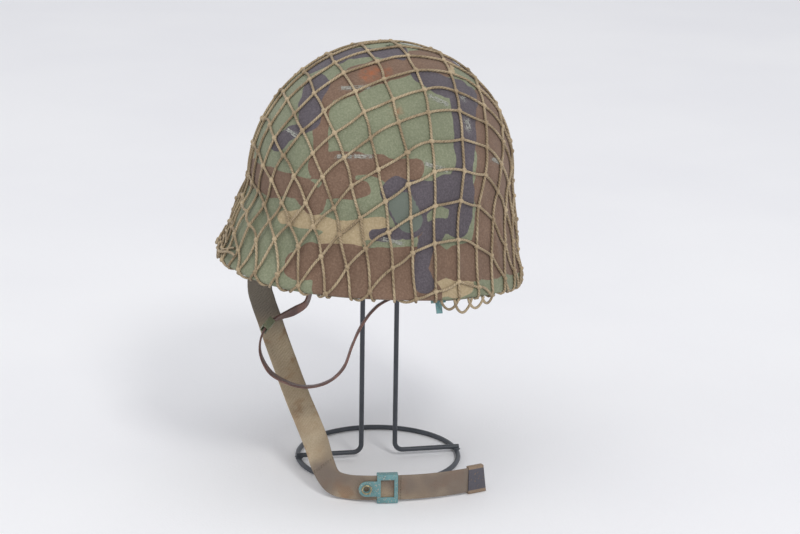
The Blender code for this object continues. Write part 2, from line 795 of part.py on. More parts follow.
def make_web_strap_left(parent):
    """The other web strap, which runs forward from its bail inside the rim, and its hook."""
    facet_dip = HOOK_LENGTH / 2 * math.tan(math.pi / SEGMENTS)
    hem = STEEL_THICK + 2 * SHELL_CLEARANCE + CLOTH_THICK
    inset = hem + facet_dip + HOOK_WALL + CLEARANCE + WEB_THICK / 2
    hinge, _, _ = bail_hinge(1)
    rear = math.acos((BAIL_WIDTH / 2 + BAIL_WIRE / 2 + CLEARANCE) / hinge.x)
    stations = []
    for k in range(LEFT_STRAP_STATIONS):
        angle = rear + (LEFT_STRAP_FRONT - rear) * k / (LEFT_STRAP_STATIONS - 1)
        place = 2 - (WEB_WIDTH / 2 - HOOK_DROP) / rim_drop(angle)
        _, _, down = meridian_frame(steel_profile, angle, place)
        stations.append((steel_point(angle, place, -inset), turned(angle, -down)))
    frames = ribbon_frames(stations)
    make_ribbon("web_strap_left", frames, WEB_WIDTH, WEB_THICK, webbing, parent)
    place = frame_matrix(frames[-1])
    depth = WEB_THICK + 2 * (CLEARANCE + HOOK_WALL)
    height = WEB_WIDTH + 2 * (CLEARANCE + HOOK_WALL)
    slot = (HOOK_LENGTH, WEB_THICK + 2 * CLEARANCE, WEB_WIDTH + 2 * CLEARANCE)
    hook = make_sleeve(
        "strap_hook_left", (HOOK_LENGTH, depth, height), slot, -HOOK_WALL, teal_paint, parent,
        place @ Matrix.Translation((HOOK_WALL, 0, 0)),
    )
    tongue_size = (HOOK_LENGTH / 2, HOOK_WALL, HOOK_TONGUE + HOOK_WALL)
    tongue_place = place @ Matrix.Translation((HOOK_WALL, 0, -height / 2 - HOOK_TONGUE / 2))
    tongue_mesh = box_mesh("hook_tongue", tongue_size, teal_paint)
    tongue = new_object("hook_tongue", tongue_mesh, parent, tongue_place)
    add_cut(hook, tongue, "UNION")


def stud_stations(side):
    """The leather strap's end under its stud on the liner: above, at and below the stud."""
    angle = side * math.pi / 2
    point, normal, down = meridian_frame(liner_profile, angle, STUD_PLACE)
    inset = LINER_THICK + STRAP_STAND_OFF + LEATHER_THICK / 2
    middle = point - normal * inset
    across = Vector((0.0, -1.0, 0.0))
    return [
        (turned(angle, middle + down * along), across)
        for along in (-STRAP_END, 0, STRAP_END)
    ]


def make_leather_strap(parent):
    """The leather strap between its studs, with its buckle."""
    to_world = helmet_place
    left = [(to_world @ point, across) for point, across in stud_stations(1)]
    right = [(to_world @ point, across) for point, across in reversed(stud_stations(-1))]
    ends = [[tuple(point) + tuple(across) for point, across in rows] for rows in (left, right)]
    route = ends[0] + leather_route() + ends[1]
    frames = ribbon_frames(curve_through(route, RIBBON_STEP))
    make_ribbon("leather_strap", frames, LEATHER_WIDTH, LEATHER_THICK, leather, parent)
    place = frame_matrix(station_at(frames, leather_route()[BUCKLE_ROW]))
    size = (
        BUCKLE_LENGTH,
        LEATHER_THICK + 2 * (BUCKLE_PLAY + BUCKLE_WALL),
        LEATHER_WIDTH + 2 * (BUCKLE_PLAY + BUCKLE_WALL),
    )
    slot = (BUCKLE_LENGTH * 2, LEATHER_THICK + 2 * BUCKLE_PLAY, LEATHER_WIDTH + 2 * BUCKLE_PLAY)
    make_sleeve("strap_buckle", size, slot, 0, green_paint, parent, place)


def make_stud(side, name, parent):
    """A round stud head over the leather strap's end."""
    angle = side * math.pi / 2
    point, normal, _ = meridian_frame(liner_profile, angle, STUD_PLACE)
    inset = LINER_THICK + STRAP_STAND_OFF + LEATHER_THICK + 2 * CLEARANCE + STUD_HEIGHT / 2
    middle = turned(angle, point - normal * inset)
    outward = turned(angle, normal)
    turn = outward.to_track_quat("Z", "Y").to_matrix().to_4x4()
    mesh = rod_mesh(name, STUD_RADIUS, STUD_HEIGHT, 16, painted_steel)
    new_object(name, mesh, parent, Matrix.Translation(middle) @ turn)


def make_stand(parent):
    """The stand: a floor ring, and one bent wire whose feet are welded on the ring."""
    radius = STAND_WIRE / 2
    corner_radius = radius / math.cos(math.pi / 8)
    points = []
    for k in range(8):
        turn = math.tau * (k + 0.5) / 8
        points.append((
            RING_CENTRE_RADIUS + corner_radius * math.cos(turn), 0,
            radius + corner_radius * math.sin(turn),
        ))
    mesh = bpy.data.meshes.new("stand")
    mesh.from_pydata(points, [(k, (k + 1) % 8) for k in range(8)], [])
    mesh.materials.append(stand_wire)
    stand = new_object("stand", mesh, parent)
    turning = stand.modifiers.new("turning", "SCREW")
    turning.angle = math.tau
    turning.steps = 40
    turning.render_steps = 40
    turning.use_merge_vertices = True
    turning.merge_threshold = MERGE
    turning.use_normal_calculate = True

    foot_height = STAND_WIRE + radius - WELD_SINK
    foot_end = RING_CENTRE_RADIUS + radius
    half_gap = UPRIGHT_GAP / 2
    crown = EQUATOR_HEIGHT + DOME_RISE - STEEL_THICK - SHELL_CLEARANCE - LINER_THICK
    arch_top = crown - CLEARANCE - radius - ARCH_SEAT_DROP
    side = [(foot_end, foot_height), ((foot_end + half_gap) / 2, foot_height)]
    for turn in (0, 30, 60, 90):
        at = math.radians(turn)
        side.append((
            half_gap + FOOT_BEND - FOOT_BEND * math.sin(at),
            foot_height + FOOT_BEND - FOOT_BEND * math.cos(at),
        ))
    shoulder = arch_top - ARCH_HALF_WIDTH
    rise = shoulder - UPRIGHT_TOP
    for k in range(FLARE_STEPS + 1):
        along = k / FLARE_STEPS
        ease = along * along * (3 - 2 * along)
        side.append((half_gap + (ARCH_HALF_WIDTH - half_gap) * ease, UPRIGHT_TOP + rise * along))
    for k in range(1, ARCH_STEPS + 1):
        at = math.pi / 2 * k / ARCH_STEPS
        side.append((ARCH_HALF_WIDTH * math.cos(at), shoulder + ARCH_HALF_WIDTH * math.sin(at)))
    outline = [(-reach, 0, height) for reach, height in side]
    outline += [(reach, 0, height) for reach, height in reversed(side[:-1])]
    heading = Matrix.Rotation(STAND_HEADING, 4, "Z")
    wire_curve = poly_curve("stand_wire_curve", outline, STAND_WIRE, False, stand_wire)
    guide = new_object("stand_wire_curve", wire_curve, parent, heading)
    bpy.context.view_layer.update()
    evaluated = guide.evaluated_get(bpy.context.evaluated_depsgraph_get())
    wire_mesh = bpy.data.meshes.new_from_object(evaluated)
    bpy.data.objects.remove(guide)
    form = bmesh.new()
    form.from_mesh(wire_mesh)
    bmesh.ops.remove_doubles(form, verts=form.verts, dist=MERGE)
    form.to_mesh(wire_mesh)
    form.free()
    wire = new_object("stand_wire", wire_mesh, parent, heading)
    add_cut(stand, wire, "UNION")


# The helmet's own collection, the cutters' and the two empties that place everything
for existing in list(bpy.data.objects):
    bpy.data.objects.remove(existing)
parts = bpy.data.collections.new("combat_helmet")
cutters = bpy.data.collections.new("cutters")
bpy.context.scene.collection.children.link(parts)
bpy.context.scene.collection.children.link(cutters)

painted_steel = new_material("painted_steel", (0.12, 0.14, 0.09), 0.6, 0.6)
moulded_liner = new_material("moulded_liner", (0.13, 0.14, 0.08), 0.6, 0.0)
camouflage_cloth = new_material("camouflage_cloth", (0.20, 0.19, 0.12), 0.9, 0.0)
string = new_material("string", (0.30, 0.25, 0.16), 0.9, 0.0)
webbing = new_material("webbing", (0.26, 0.21, 0.14), 0.9, 0.0)
leather = new_material("leather", (0.20, 0.13, 0.10), 0.5, 0.0)
teal_paint = new_material("teal_paint", (0.12, 0.24, 0.22), 0.4, 0.3)
green_paint = new_material("green_paint", (0.18, 0.26, 0.16), 0.45, 0.3)
brass = new_material("brass", (0.35, 0.30, 0.18), 0.4, 1.0)
bail_metal = new_material("bail_metal", (0.07, 0.08, 0.06), 0.5, 0.7)
tip_metal = new_material("tip_metal", (0.05, 0.05, 0.055), 0.5, 0.6)
stand_wire = new_material("stand_wire", (0.03, 0.03, 0.035), 0.4, 0.5)

stand_axis = bpy.data.objects.new("stand_axis", None)
parts.objects.link(stand_axis)
stand_axis.location = (STAND_SIDE, STAND_SETBACK, 0)
helmet_pose = bpy.data.objects.new("helmet_pose", None)
parts.objects.link(helmet_pose)
helmet_pose.parent = stand_axis
helmet_place = Matrix.Translation((0, 0, EQUATOR_HEIGHT)) @ Matrix.Rotation(LEAN, 4, "Y")
helmet_pose.matrix_local = helmet_place

make_steel_shell(helmet_pose)
make_liner(helmet_pose)
make_cover(helmet_pose)
make_net(helmet_pose)
for side, word in ((-1, "right"), (1, "left")):
    make_bail(side, "bail_" + word, helmet_pose)
    make_lug(side, "bail_lug_" + word, helmet_pose)
    make_stud(side, "strap_stud_" + word, helmet_pose)
web_frames = make_web_strap_right(stand_axis)
make_slider(web_frames, stand_axis)
make_strap_tip(web_frames, stand_axis)
make_web_strap_left(helmet_pose)
make_leather_strap(stand_axis)
make_stand(stand_axis)
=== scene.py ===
import math
import random

import bmesh
import bpy
from mathutils import Matrix, Vector, noise


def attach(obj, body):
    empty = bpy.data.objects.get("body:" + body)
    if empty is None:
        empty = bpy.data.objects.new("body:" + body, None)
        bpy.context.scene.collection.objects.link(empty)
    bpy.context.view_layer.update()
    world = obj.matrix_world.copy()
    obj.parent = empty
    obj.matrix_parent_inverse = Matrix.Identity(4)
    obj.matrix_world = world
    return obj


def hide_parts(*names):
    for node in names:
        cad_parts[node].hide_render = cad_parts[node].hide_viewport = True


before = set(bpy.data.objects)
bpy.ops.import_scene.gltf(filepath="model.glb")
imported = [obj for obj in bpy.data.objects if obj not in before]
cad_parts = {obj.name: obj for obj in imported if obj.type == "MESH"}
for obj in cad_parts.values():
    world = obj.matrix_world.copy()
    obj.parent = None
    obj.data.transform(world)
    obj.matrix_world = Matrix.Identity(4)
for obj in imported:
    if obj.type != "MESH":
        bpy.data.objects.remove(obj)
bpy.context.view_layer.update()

# The camera stands to the right of the helmet's front and looks a little down, tilted by less
# than a degree, as in the photograph. Colours are shown plainly, without a film curve.
AXIS_SIDE = 0.0045
AXIS_SETBACK = 0.014
CAMERA_PLACE = Vector((1.06506 + AXIS_SIDE, -1.81198 + AXIS_SETBACK, 0.79511))
CAMERA_HEADING = math.radians(30)
CAMERA_PITCH = math.radians(16.6)
CAMERA_ROLL = math.radians(0.86)
FOCAL_PIXELS = 2638
PICTURE_WIDTH = 800
SENSOR_WIDTH = 36


def new_object(name, data):
    """A new object that is linked to the scene."""
    made = bpy.data.objects.new(name, data)
    bpy.context.scene.collection.objects.link(made)
    return made


camera_data = bpy.data.cameras.new("camera")
camera_data.sensor_width = SENSOR_WIDTH
camera_data.lens = FOCAL_PIXELS / PICTURE_WIDTH * SENSOR_WIDTH
camera = new_object("camera", camera_data)
to_right = Vector((math.cos(CAMERA_HEADING), math.sin(CAMERA_HEADING), 0))
level_back = Vector((math.sin(CAMERA_HEADING), -math.cos(CAMERA_HEADING), 0))
to_back = level_back * math.cos(CAMERA_PITCH) + Vector((0, 0, math.sin(CAMERA_PITCH)))
to_top = to_back.cross(to_right)
camera_x = to_right * math.cos(CAMERA_ROLL) + to_top * math.sin(CAMERA_ROLL)
camera_y = to_top * math.cos(CAMERA_ROLL) - to_right * math.sin(CAMERA_ROLL)
turned_axes = Matrix((camera_x, camera_y, to_back)).transposed().to_4x4()
camera.matrix_world = Matrix.Translation(CAMERA_PLACE) @ turned_axes
bpy.context.scene.camera = camera
bpy.context.scene.view_settings.view_transform = "Standard"

# The floor is a plain pale sheet of matt board, lit evenly by pale surroundings. Three large soft
# lamps hang over it: the brightest to the right, one above, and a faint one to the left.
FLOOR_SIZE = 16.0
SURROUNDING_LIGHT = 0.7
LAMPS_AIM = Vector((0, 0, 0.2))


def select_only(*pieces):
    """Select these pieces alone, with the last one active."""
    bpy.ops.object.select_all(action="DESELECT")
    for piece in pieces:
        piece.select_set(True)
        bpy.context.view_layer.objects.active = piece


def name_piece(name, finish):
    """Name the newly made piece and give it its finish."""
    piece = bpy.context.object
    piece.name = name
    piece.data.name = name
    piece.data.materials.clear()
    piece.data.materials.append(finish.material)
    return piece


class Shade:
    """A value that varies over a surface. Sums and comparisons on it add Math nodes."""

    def __init__(self, finish, socket):
        self.finish = finish
        self.socket = socket

    def maths(self, operation, *values):
        return self.finish.node("ShaderNodeMath", {"operation": operation}, values)

    def __add__(self, other):
        return self.maths("ADD", self, other)

    def __radd__(self, other):
        return self.maths("ADD", other, self)

    def __sub__(self, other):
        return self.maths("SUBTRACT", self, other)

    def __rsub__(self, other):
        return self.maths("SUBTRACT", other, self)

    def __mul__(self, other):
        return self.maths("MULTIPLY", self, other)

    def __rmul__(self, other):
        return self.maths("MULTIPLY", other, self)

    def sine(self):
        return self.maths("SINE", self)

    def size(self):
        return self.maths("ABSOLUTE", self)

    def rising(self, low, high):
        """0 below low, 1 above high, smooth between them."""
        settings = {"interpolation_type": "SMOOTHSTEP"}
        return self.finish.node("ShaderNodeMapRange", settings, {0: self, 1: low, 2: high})


class Finish:
    """The material of one of the object's surfaces, made from nodes."""

    def __init__(self, name, specular=0.5, sheen=0.0):
        self.material = bpy.data.materials.new(name)
        self.material.use_nodes = True
        self.tree = self.material.node_tree
        self.shader = self.tree.nodes["Principled BSDF"]
        self.shader.inputs["Specular IOR Level"].default_value = specular
        self.shader.inputs["Sheen Weight"].default_value = sheen
        self.at = self.node("ShaderNodeTexCoord", output="Object")

    def feed(self, socket, value):
        if isinstance(value, Shade):
            self.tree.links.new(value.socket, socket)
        elif isinstance(value, tuple) and len(value) == 3 and socket.type == "RGBA":
            socket.default_value = (*value, 1)
        else:
            socket.default_value = value

    def node(self, kind, settings=None, inputs=(), output=0):
        """Any node: its settings first, then what its sockets get. Gives its output."""
        made = self.tree.nodes.new(kind)
        for key, value in (settings or {}).items():
            setattr(made, key, value)
        pairs = inputs.items() if isinstance(inputs, dict) else enumerate(inputs)
        for key, value in pairs:
            self.feed(made.inputs[key], value)
        return Shade(self, made.outputs[output])

    def part(self, vector, axis):
        """One of the three parts of a place: 0, 1 or 2."""
        return self.node("ShaderNodeSeparateXYZ", None, {0: vector}, axis)

    def stored(self, name):
        """A value that is stored for each point of the piece."""
        return self.node("ShaderNodeAttribute", {"attribute_name": name}, output="Fac")

    def grain(self, scale, detail=2.0, roughness=0.5):
        """Soft random spots of about 1/scale metres."""
        inputs = {"Vector": self.at, "Scale": scale, "Detail": detail, "Roughness": roughness}
        return self.node("ShaderNodeTexNoise", None, inputs)

    def mix(self, share, first, second, blend="MIX"):
        """Two colours mixed by a share."""
        settings = {"data_type": "RGBA", "blend_type": blend}
        return self.node("ShaderNodeMix", settings, {0: share, 6: first, 7: second}, 2)

    def surface(self, colour, roughness, height, depth, metallic=0.0):
        """What the surface gets: its colour, how dull it is, its fine relief and what is metal."""
        relief = {"Strength": 1.0, "Distance": depth, "Height": height}
        inputs = {"Base Color": colour, "Roughness": roughness, "Metallic": metallic}
        inputs["Normal"] = self.node("ShaderNodeBump", None, relief)
        for name, value in inputs.items():
            self.feed(self.shader.inputs[name], value)


pale_board = Finish("pale_board", specular=0.3)
board_cloud = pale_board.grain(2.2, 3.0).rising(0.3, 0.7)
pale_board.surface(
    colour=pale_board.mix(board_cloud, (0.9, 0.9, 0.92), (0.94, 0.94, 0.95)),
    roughness=0.75, height=pale_board.grain(420.0, 2.0), depth=0.0002,
)
select_only()
bpy.ops.mesh.primitive_plane_add(size=FLOOR_SIZE, location=(0, 0, 0))
floor = name_piece("floor", pale_board)

surroundings = bpy.data.worlds.new("surroundings")
surroundings.use_nodes = True
background = surroundings.node_tree.nodes["Background"]
background.inputs["Color"].default_value = (0.95, 0.96, 1.0, 1)
background.inputs["Strength"].default_value = SURROUNDING_LIGHT
bpy.context.scene.world = surroundings


def hang_lamp(name, place, power, size, colour=(1, 1, 1)):
    """A large soft lamp aimed at the helmet."""
    data = bpy.data.lights.new(name, "AREA")
    data.energy = power
    data.size = size
    data.color = colour
    lamp = new_object(name, data)
    lamp.location = place
    lamp.rotation_euler = (LAMPS_AIM - Vector(place)).to_track_quat("-Z", "Y").to_euler()


hang_lamp("key_lamp", (3.0, -2.0, 3.6), 60, 1.0, (1.0, 0.99, 0.97))
hang_lamp("top_lamp", (0.3, -0.6, 3.4), 20, 3.2)
hang_lamp("left_lamp", (-2.2, -3.0, 2.4), 9, 1.8)

# The steel shell is one pressed shell, painted green-brown with grit in the paint. All that lies
# on it, such as the cloth and the net, takes its shape from the same press.
DOME_HALF_WIDTH = 0.1015
DOME_HALF_LENGTH = 0.1185
DOME_RISE = 0.1055
RIM_FRONT = 0.1505
RIM_REAR = 0.1245
RIM_SIDE = 0.118
SKIRT_DROP = 0.088
STEEL_THICK = 0.0012
SHELL_CLEARANCE = 0.0004
EQUATOR_HEIGHT = 0.249
LEAN = math.radians(3.3)
# Angle from the front, and the rim's drop there as a share of SKIRT_DROP.
RIM_STEP = 30
RIM_DROPS = (
    (0, 0.66), (30, 0.68), (60, 0.765), (90, 0.85), (120, 0.96), (150, 1.0), (180, 0.97)
)
on_stand = Matrix.Translation((AXIS_SIDE, AXIS_SETBACK, 0))
on_head = on_stand @ Matrix.Translation((0, 0, EQUATOR_HEIGHT)) @ Matrix.Rotation(LEAN, 4, "Y")


def oval(angle, front, rear, side):
    """Reach of an oval whose front and rear halves differ, at an angle from the front."""
    along = front if math.cos(angle) > 0 else rear
    return 1 / math.hypot(math.cos(angle) / along, math.sin(angle) / side)


def in_degrees(angle):
    """An angle from the front as degrees, from -180 to 180."""
    return math.degrees(math.atan2(math.sin(angle), math.cos(angle)))


def rim_drop(angle):
    """How far the rim lies below the equator: a smooth curve through the rim's heights."""
    at = abs(in_degrees(angle))
    row = min(int(at / RIM_STEP), len(RIM_DROPS) - 2)
    shares = [share for _, share in RIM_DROPS]
    before = shares[abs(row - 1)]
    after = shares[row + 2] if row + 2 < len(shares) else shares[-2]
    low, high = shares[row], shares[row + 1]
    t = (at - RIM_DROPS[row][0]) / RIM_STEP
    return SKIRT_DROP * (
        low * (2 * t ** 3 - 3 * t ** 2 + 1) + high * (3 * t ** 2 - 2 * t ** 3)
        + (high - before) / 2 * (t ** 3 - 2 * t ** 2 + t) + (after - low) / 2 * (t ** 3 - t ** 2)
    )


def skirt_curl(angle):
    """How late the skirt turns outward: more under the brow than at the sides."""
    return 1.3 + 0.9 * max(math.cos(angle), 0) ** 2


def steel_profile(angle, place):
    """Reach and height of the steel: place 0 at the crown, 1 at the equator, 2 at the rim."""
    dome = oval(angle, DOME_HALF_LENGTH, DOME_HALF_LENGTH, DOME_HALF_WIDTH)
    if place <= 1:
        return dome * math.sin(place * math.pi / 2), DOME_RISE * math.cos(place * math.pi / 2)
    flare = oval(angle, RIM_FRONT, RIM_REAR, RIM_SIDE) - dome
    return dome + flare * (place - 1) ** skirt_curl(angle), -rim_drop(angle) * (place - 1)


def meridian_frame(profile, angle, place):
    """Point, outward normal and downward direction of a profile, as reach and height."""
    first = profile(angle, max(place - 0.002, 0))
    second = profile(angle, min(place + 0.002, 2))
    down = Vector((second[0] - first[0], second[1] - first[1])).normalized()
    return Vector(profile(angle, place)), Vector((-down.y, down.x)), down


def turned(angle, reach_height):
    """The point at an angle from the front, with a reach and a height."""
    reach, height = reach_height
    return Vector((reach * math.sin(angle), -reach * math.cos(angle), height))


def steel_point(angle, place, offset=0.0):
    """A point at an offset from the steel's outer face."""
    point, normal, _ = meridian_frame(steel_profile, angle, place)
    return turned(angle, point + normal * offset)


def rim_point(angle, turn, distance):
    """A point round the rim's edge: turn 0 points outward, a quarter turn down."""
    point, normal, down = meridian_frame(steel_profile, angle, 2)
    middle = point - normal * STEEL_THICK / 2
    return turned(angle, middle + (normal * math.cos(turn) + down * math.sin(turn)) * distance)


def over_rim_point(angle, past, stand_off):
    """A point that has run a length past the rim: round its edge, then up inside it."""
    distance = STEEL_THICK / 2 + stand_off
    turn = past / distance
    if turn <= math.pi:
        return rim_point(angle, turn, distance)
    place = 2 - (past - math.pi * distance) / rim_drop(angle)
    return steel_point(angle, place, -STEEL_THICK - stand_off)


def dome_of_rows(name, rows, segments, finish, thickness, offset):
    """A shell through rows of points round the crown: a grid is wrapped, closed and walled."""
    select_only()
    bpy.ops.mesh.primitive_grid_add(
        x_subdivisions=segments, y_subdivisions=len(rows) - 1, size=1
    )
    shell = name_piece(name, finish)
    for corner in shell.data.vertices:
        row = round((0.5 - corner.co.y) * (len(rows) - 1))
        corner.co = rows[row]((0.5 + corner.co.x) * math.tau)
    bpy.ops.object.mode_set(mode="EDIT")
    bpy.ops.mesh.select_all(action="SELECT")
    bpy.ops.mesh.remove_doubles(threshold=0.00002)
    bpy.ops.mesh.normals_make_consistent(inside=False)
    bpy.ops.object.mode_set(mode="OBJECT")
    bpy.ops.object.shade_smooth()
    wall = shell.modifiers.new("wall", "SOLIDIFY")
    wall.thickness = thickness
    wall.offset = offset
    bpy.ops.object.modifier_apply(modifier="wall")
    return shell


def set_on_head(piece, node):
    """Set a piece that is made round the helmet's own axis onto the leaning helmet."""
    piece.data.transform(on_head)
    piece.data.update()
    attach(piece, "root")
    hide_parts(node)


def shell_places(dome_rows, skirt_rows):
    """Places down a shell, from its crown to its rim."""
    dome = [row / dome_rows for row in range(dome_rows + 1)]
    return dome + [1 + row / skirt_rows for row in range(1, skirt_rows + 1)]


def mottled(name, specular, tones, cloud, roughness, fine, depth):
    """A finish of two mottled tones over fine grains, duller where the second tone shows."""
    finish = Finish(name, specular)
    share = finish.grain(*cloud[:2]).rising(*cloud[2:])
    dullness = roughness[0] + share * roughness[1]
    finish.surface(finish.mix(share, *tones), dullness, finish.grain(*fine), depth)
    return finish


gritty_paint = mottled(
    "gritty_paint", 0.35, ((0.075, 0.08, 0.055), (0.13, 0.095, 0.065)), (60.0, 5.0, 0.56, 0.68),
    (0.62, 0.2), (1500.0, 2.0), 0.0002,
)
steel_rows = [
    lambda angle, place=place: steel_point(angle, place) for place in shell_places(22, 14)
]
steel_shell = dome_of_rows("pressed_steel_shell", steel_rows, 120, gritty_paint, STEEL_THICK, -1)
set_on_head(steel_shell, "steel_shell")

# The liner is a moulded fibre shell that sits loose inside the steel, with a duller green finish
# in which the layers of cloth just show.
LINER_GAP_FRONT = 0.0083
LINER_GAP_REAR = 0.0043
LINER_GAP_SIDE = 0.0112
LINER_DROP_SHARE = 0.84
LINER_THICK = 0.0022


def liner_profile(angle, place):
    """Reach and height of the liner's outer face."""
    inset = STEEL_THICK + SHELL_CLEARANCE
    dome = oval(angle, DOME_HALF_LENGTH, DOME_HALF_LENGTH, DOME_HALF_WIDTH) - inset
    if place <= 1:
        turn = place * math.pi / 2
        return dome * math.sin(turn), (DOME_RISE - inset) * math.cos(turn)
    steel_reach, steel_height = steel_profile(angle, 1 + LINER_DROP_SHARE)
    flare = steel_reach - oval(angle, LINER_GAP_FRONT, LINER_GAP_REAR, LINER_GAP_SIDE) - dome
    return dome + flare * (place - 1) ** skirt_curl(angle), steel_height * (place - 1)


fibre = mottled(
    "moulded_fibre", 0.4, ((0.11, 0.12, 0.07), (0.16, 0.15, 0.092)), (40.0, 4.0, 0.4, 0.65),
    (0.5, 0.15), (900.0, 1.0), 0.00015,
)
liner_rows = [
    lambda angle, place=place: turned(angle, liner_profile(angle, place))
    for place in shell_places(18, 10)
]
liner = dome_of_rows("fibre_liner", liner_rows, 100, fibre, LINER_THICK, -1)
set_on_head(liner, "liner")

# The cover is a bag of printed cotton cloth, sewn from panels, drawn over the steel and turned in
# under its rim. It is taut on the dome, puckers over the brow and has stitched foliage slits.
CLOTH_THICK = 0.001
HEM_DEPTH = 0.006
BROW_LIFT = 0.003
FOLD_LIFT = 0.002
FOLD_HALF_ANGLE = 11.0
# Angle from the front, and the fold's share of FOLD_LIFT.
BROW_FOLDS = ((-60, 1.0), (-30, 0.8), (-7.5, 0.6), (22.5, 0.9), (52.5, 0.7))
EDGE_PLACE = 1.97
EDGE_LIFT_SHARE = 0.3
CLOTH_STAND_OFF = SHELL_CLEARANCE + CLOTH_THICK / 2


def cloth_lift(angle, place):
    """How far the cloth bridges off the steel at the brow, with its folds."""
    if place <= 1:
        return 0.0
    lift = BROW_LIFT * max(math.cos(angle), 0) ** 2
    for fold_angle, share in BROW_FOLDS:
        away = abs(in_degrees(angle) - fold_angle) / FOLD_HALF_ANGLE
        if away < 1:
            lift += FOLD_LIFT * share * math.cos(away * math.pi / 2) ** 2
    return lift * math.sin(math.pi * min(place - 1, 1)) ** 2


FINE_CRUMPLE = 0.00016
SKIRT_CRUMPLE = 0.0034
SKIRT_FROM = 0.85
DEEPEST_DIP = 0.00012


def cloth_crumple(angle, place):
    """Small wrinkles in the cloth: fine all over, deeper and running down on the skirt."""
    around = Vector((math.sin(angle), math.cos(angle), place * 0.9))
    fine = noise.fractal(around * 9.0, 1.0, 2.0, 3) * FINE_CRUMPLE
    skirt = min(max(place - SKIRT_FROM, 0) * 2.2, 1)
    runs = Vector((math.sin(angle) * 9, math.cos(angle) * 9, place * 1.6 + 4))
    down_folds = max(noise.noise(runs) + 0.05, 0) * SKIRT_CRUMPLE * skirt
    return max(fine + down_folds, -DEEPEST_DIP)


# Each seam's place down the shell, and its angle from the front there.
FRONT_SEAM = ((0.3, -25), (0.45, -14), (0.74, 2), (0.87, 5), (2.0, 8))
LEFT_SEAM = ((0.3, 120), (0.52, 100), (0.72, 80), (0.95, 76), (2.0, 74))
REAR_SEAM = ((0.3, 200), (2.0, 196))
SEAM_HALF_WIDTH = 0.003
SEAM_RISE = 0.0007
SEAM_SHARP_SIDE = 1.2
SEAM_SOFT_SIDE = 1.6


def along_table(table, at):
    """A value from a two-column table, in straight steps."""
    for (low, first), (high, second) in zip(table, table[1:]):
        if at <= high:
            return first + (second - first) * max(at - low, 0) / (high - low)
    return table[-1][1]


def seam_ridge(angle, place):
    """The doubled cloth on one side of each seam, which runs from the crown to the rim."""
    ridge = 0.0
    reach = steel_profile(angle, place)[0]
    for seam in (FRONT_SEAM, LEFT_SEAM, REAR_SEAM):
        seam_angle = math.radians(along_table(seam, place))
        away = math.radians(in_degrees(angle - seam_angle)) * reach / SEAM_HALF_WIDTH
        if 0 < away < SEAM_SOFT_SIDE:
            ridge += SEAM_RISE * math.cos(away / SEAM_SOFT_SIDE * math.pi / 2)
        elif -SEAM_SHARP_SIDE < away <= 0:
            ridge += SEAM_RISE * (1 + away / SEAM_SHARP_SIDE)
    return ridge


def cloth_outside(place):
    """One row of the cover on the outside of the steel."""
    def point(angle):
        lift = cloth_lift(angle, place) + cloth_crumple(angle, place) + seam_ridge(angle, place)
        share = 1 if place < EDGE_PLACE else EDGE_LIFT_SHARE
        return steel_point(angle, place, CLOTH_STAND_OFF + lift * share)
    return point


def cloth_past_rim(past):
    """One row of the cover round the rim's edge and inside it."""
    return lambda angle: over_rim_point(angle, past, CLOTH_STAND_OFF)


edge_length = math.pi * (STEEL_THICK / 2 + CLOTH_STAND_OFF)
cover_rows = [cloth_outside(place) for place in shell_places(64, 46)]
cover_rows += [cloth_past_rim(edge_length * step / 6) for step in range(1, 7)]
cover_rows += [cloth_past_rim(edge_length + HEM_DEPTH * step / 3) for step in range(1, 4)]

# The printed patches, as seen from the camera's side, each a half width and the points of its
# middle line, in about millimetres across and up from the middle of the dome. SEEN_REACH is the
# camera's distance in them, and SEEN_ACROSS and SEEN_UP are where the camera's axis passes. The
# cloth is printed green, then tan, brown and dark over it.
SEEN_REACH = 2242.0
SEEN_ACROSS = 15.7
SEEN_UP = -79.9
TAN_PATCHES = (
    (9.0, (-82, -38), (-66, -40), (-48, -44), (-30, -50), (-18, -46), (-1, -48)),
    (8.0, (-44, -54), (-30, -60), (-22, -54)),
    (7, (-50, -55), (-38, -60)),
    (6, (11, -99), (24, -99)),
    (7.6, (37, -101), (54, -97), (72, -97)),
)
BROWN_PATCHES = (
    (11, (-35, 71), (-14, 82), (9, 88), (33, 96), (50, 91)),
    (6, (-47, 64), (-51, 45), (-51, 23)),
    (11, (-112, 1), (-91, -6), (-69, -14), (-59, -25)),
    (11, (-52, 6), (-31, 6), (-10, 8), (11, 1), (26, 1)),
    (8.5, (-41, -13), (-17, -13)),
    (17, (-65, -76), (-35, -76), (-6, -79), (24, -77), (41, -76)),
    (13, (-48, -95), (-6, -101), (37, -102)),
    (17, (68, -77), (88, -76), (105, -70)),
    (11.9, (91, 62), (98, 20), (103, -23), (108, -65)),
    (7.6, (34, -54), (36, -54)),
)
DARK_PATCHES = (
    (5.1, (-44, 98), (-18, 103), (17, 101)),
    (9, (-54, 76), (-59, 60), (-62, 46)),
    (4.6, (-88, 26), (-76, 36), (-66, 40)),
    (7.6, (33, 83), (50, 76), (65, 71)),
    (10.2, (70, 64), (70, 37), (72, 3), (68, -23), (64, -44)),
    (13.6, (15, -16), (34, -19)),
    (13, (18, -32), (22, -40)),
    (11, (52, -14), (64, -24)),
    (5.1, (-6, -52), (12, -50)),
    (7.6, (50, -44), (40, -61), (33, -81), (36, -94)),
)
FADED_PATCHES = ((12, (17, -27), (24, -40)),)
LEFT_PANEL_EDGE = 80
LEFT_PANEL_HEM = -84
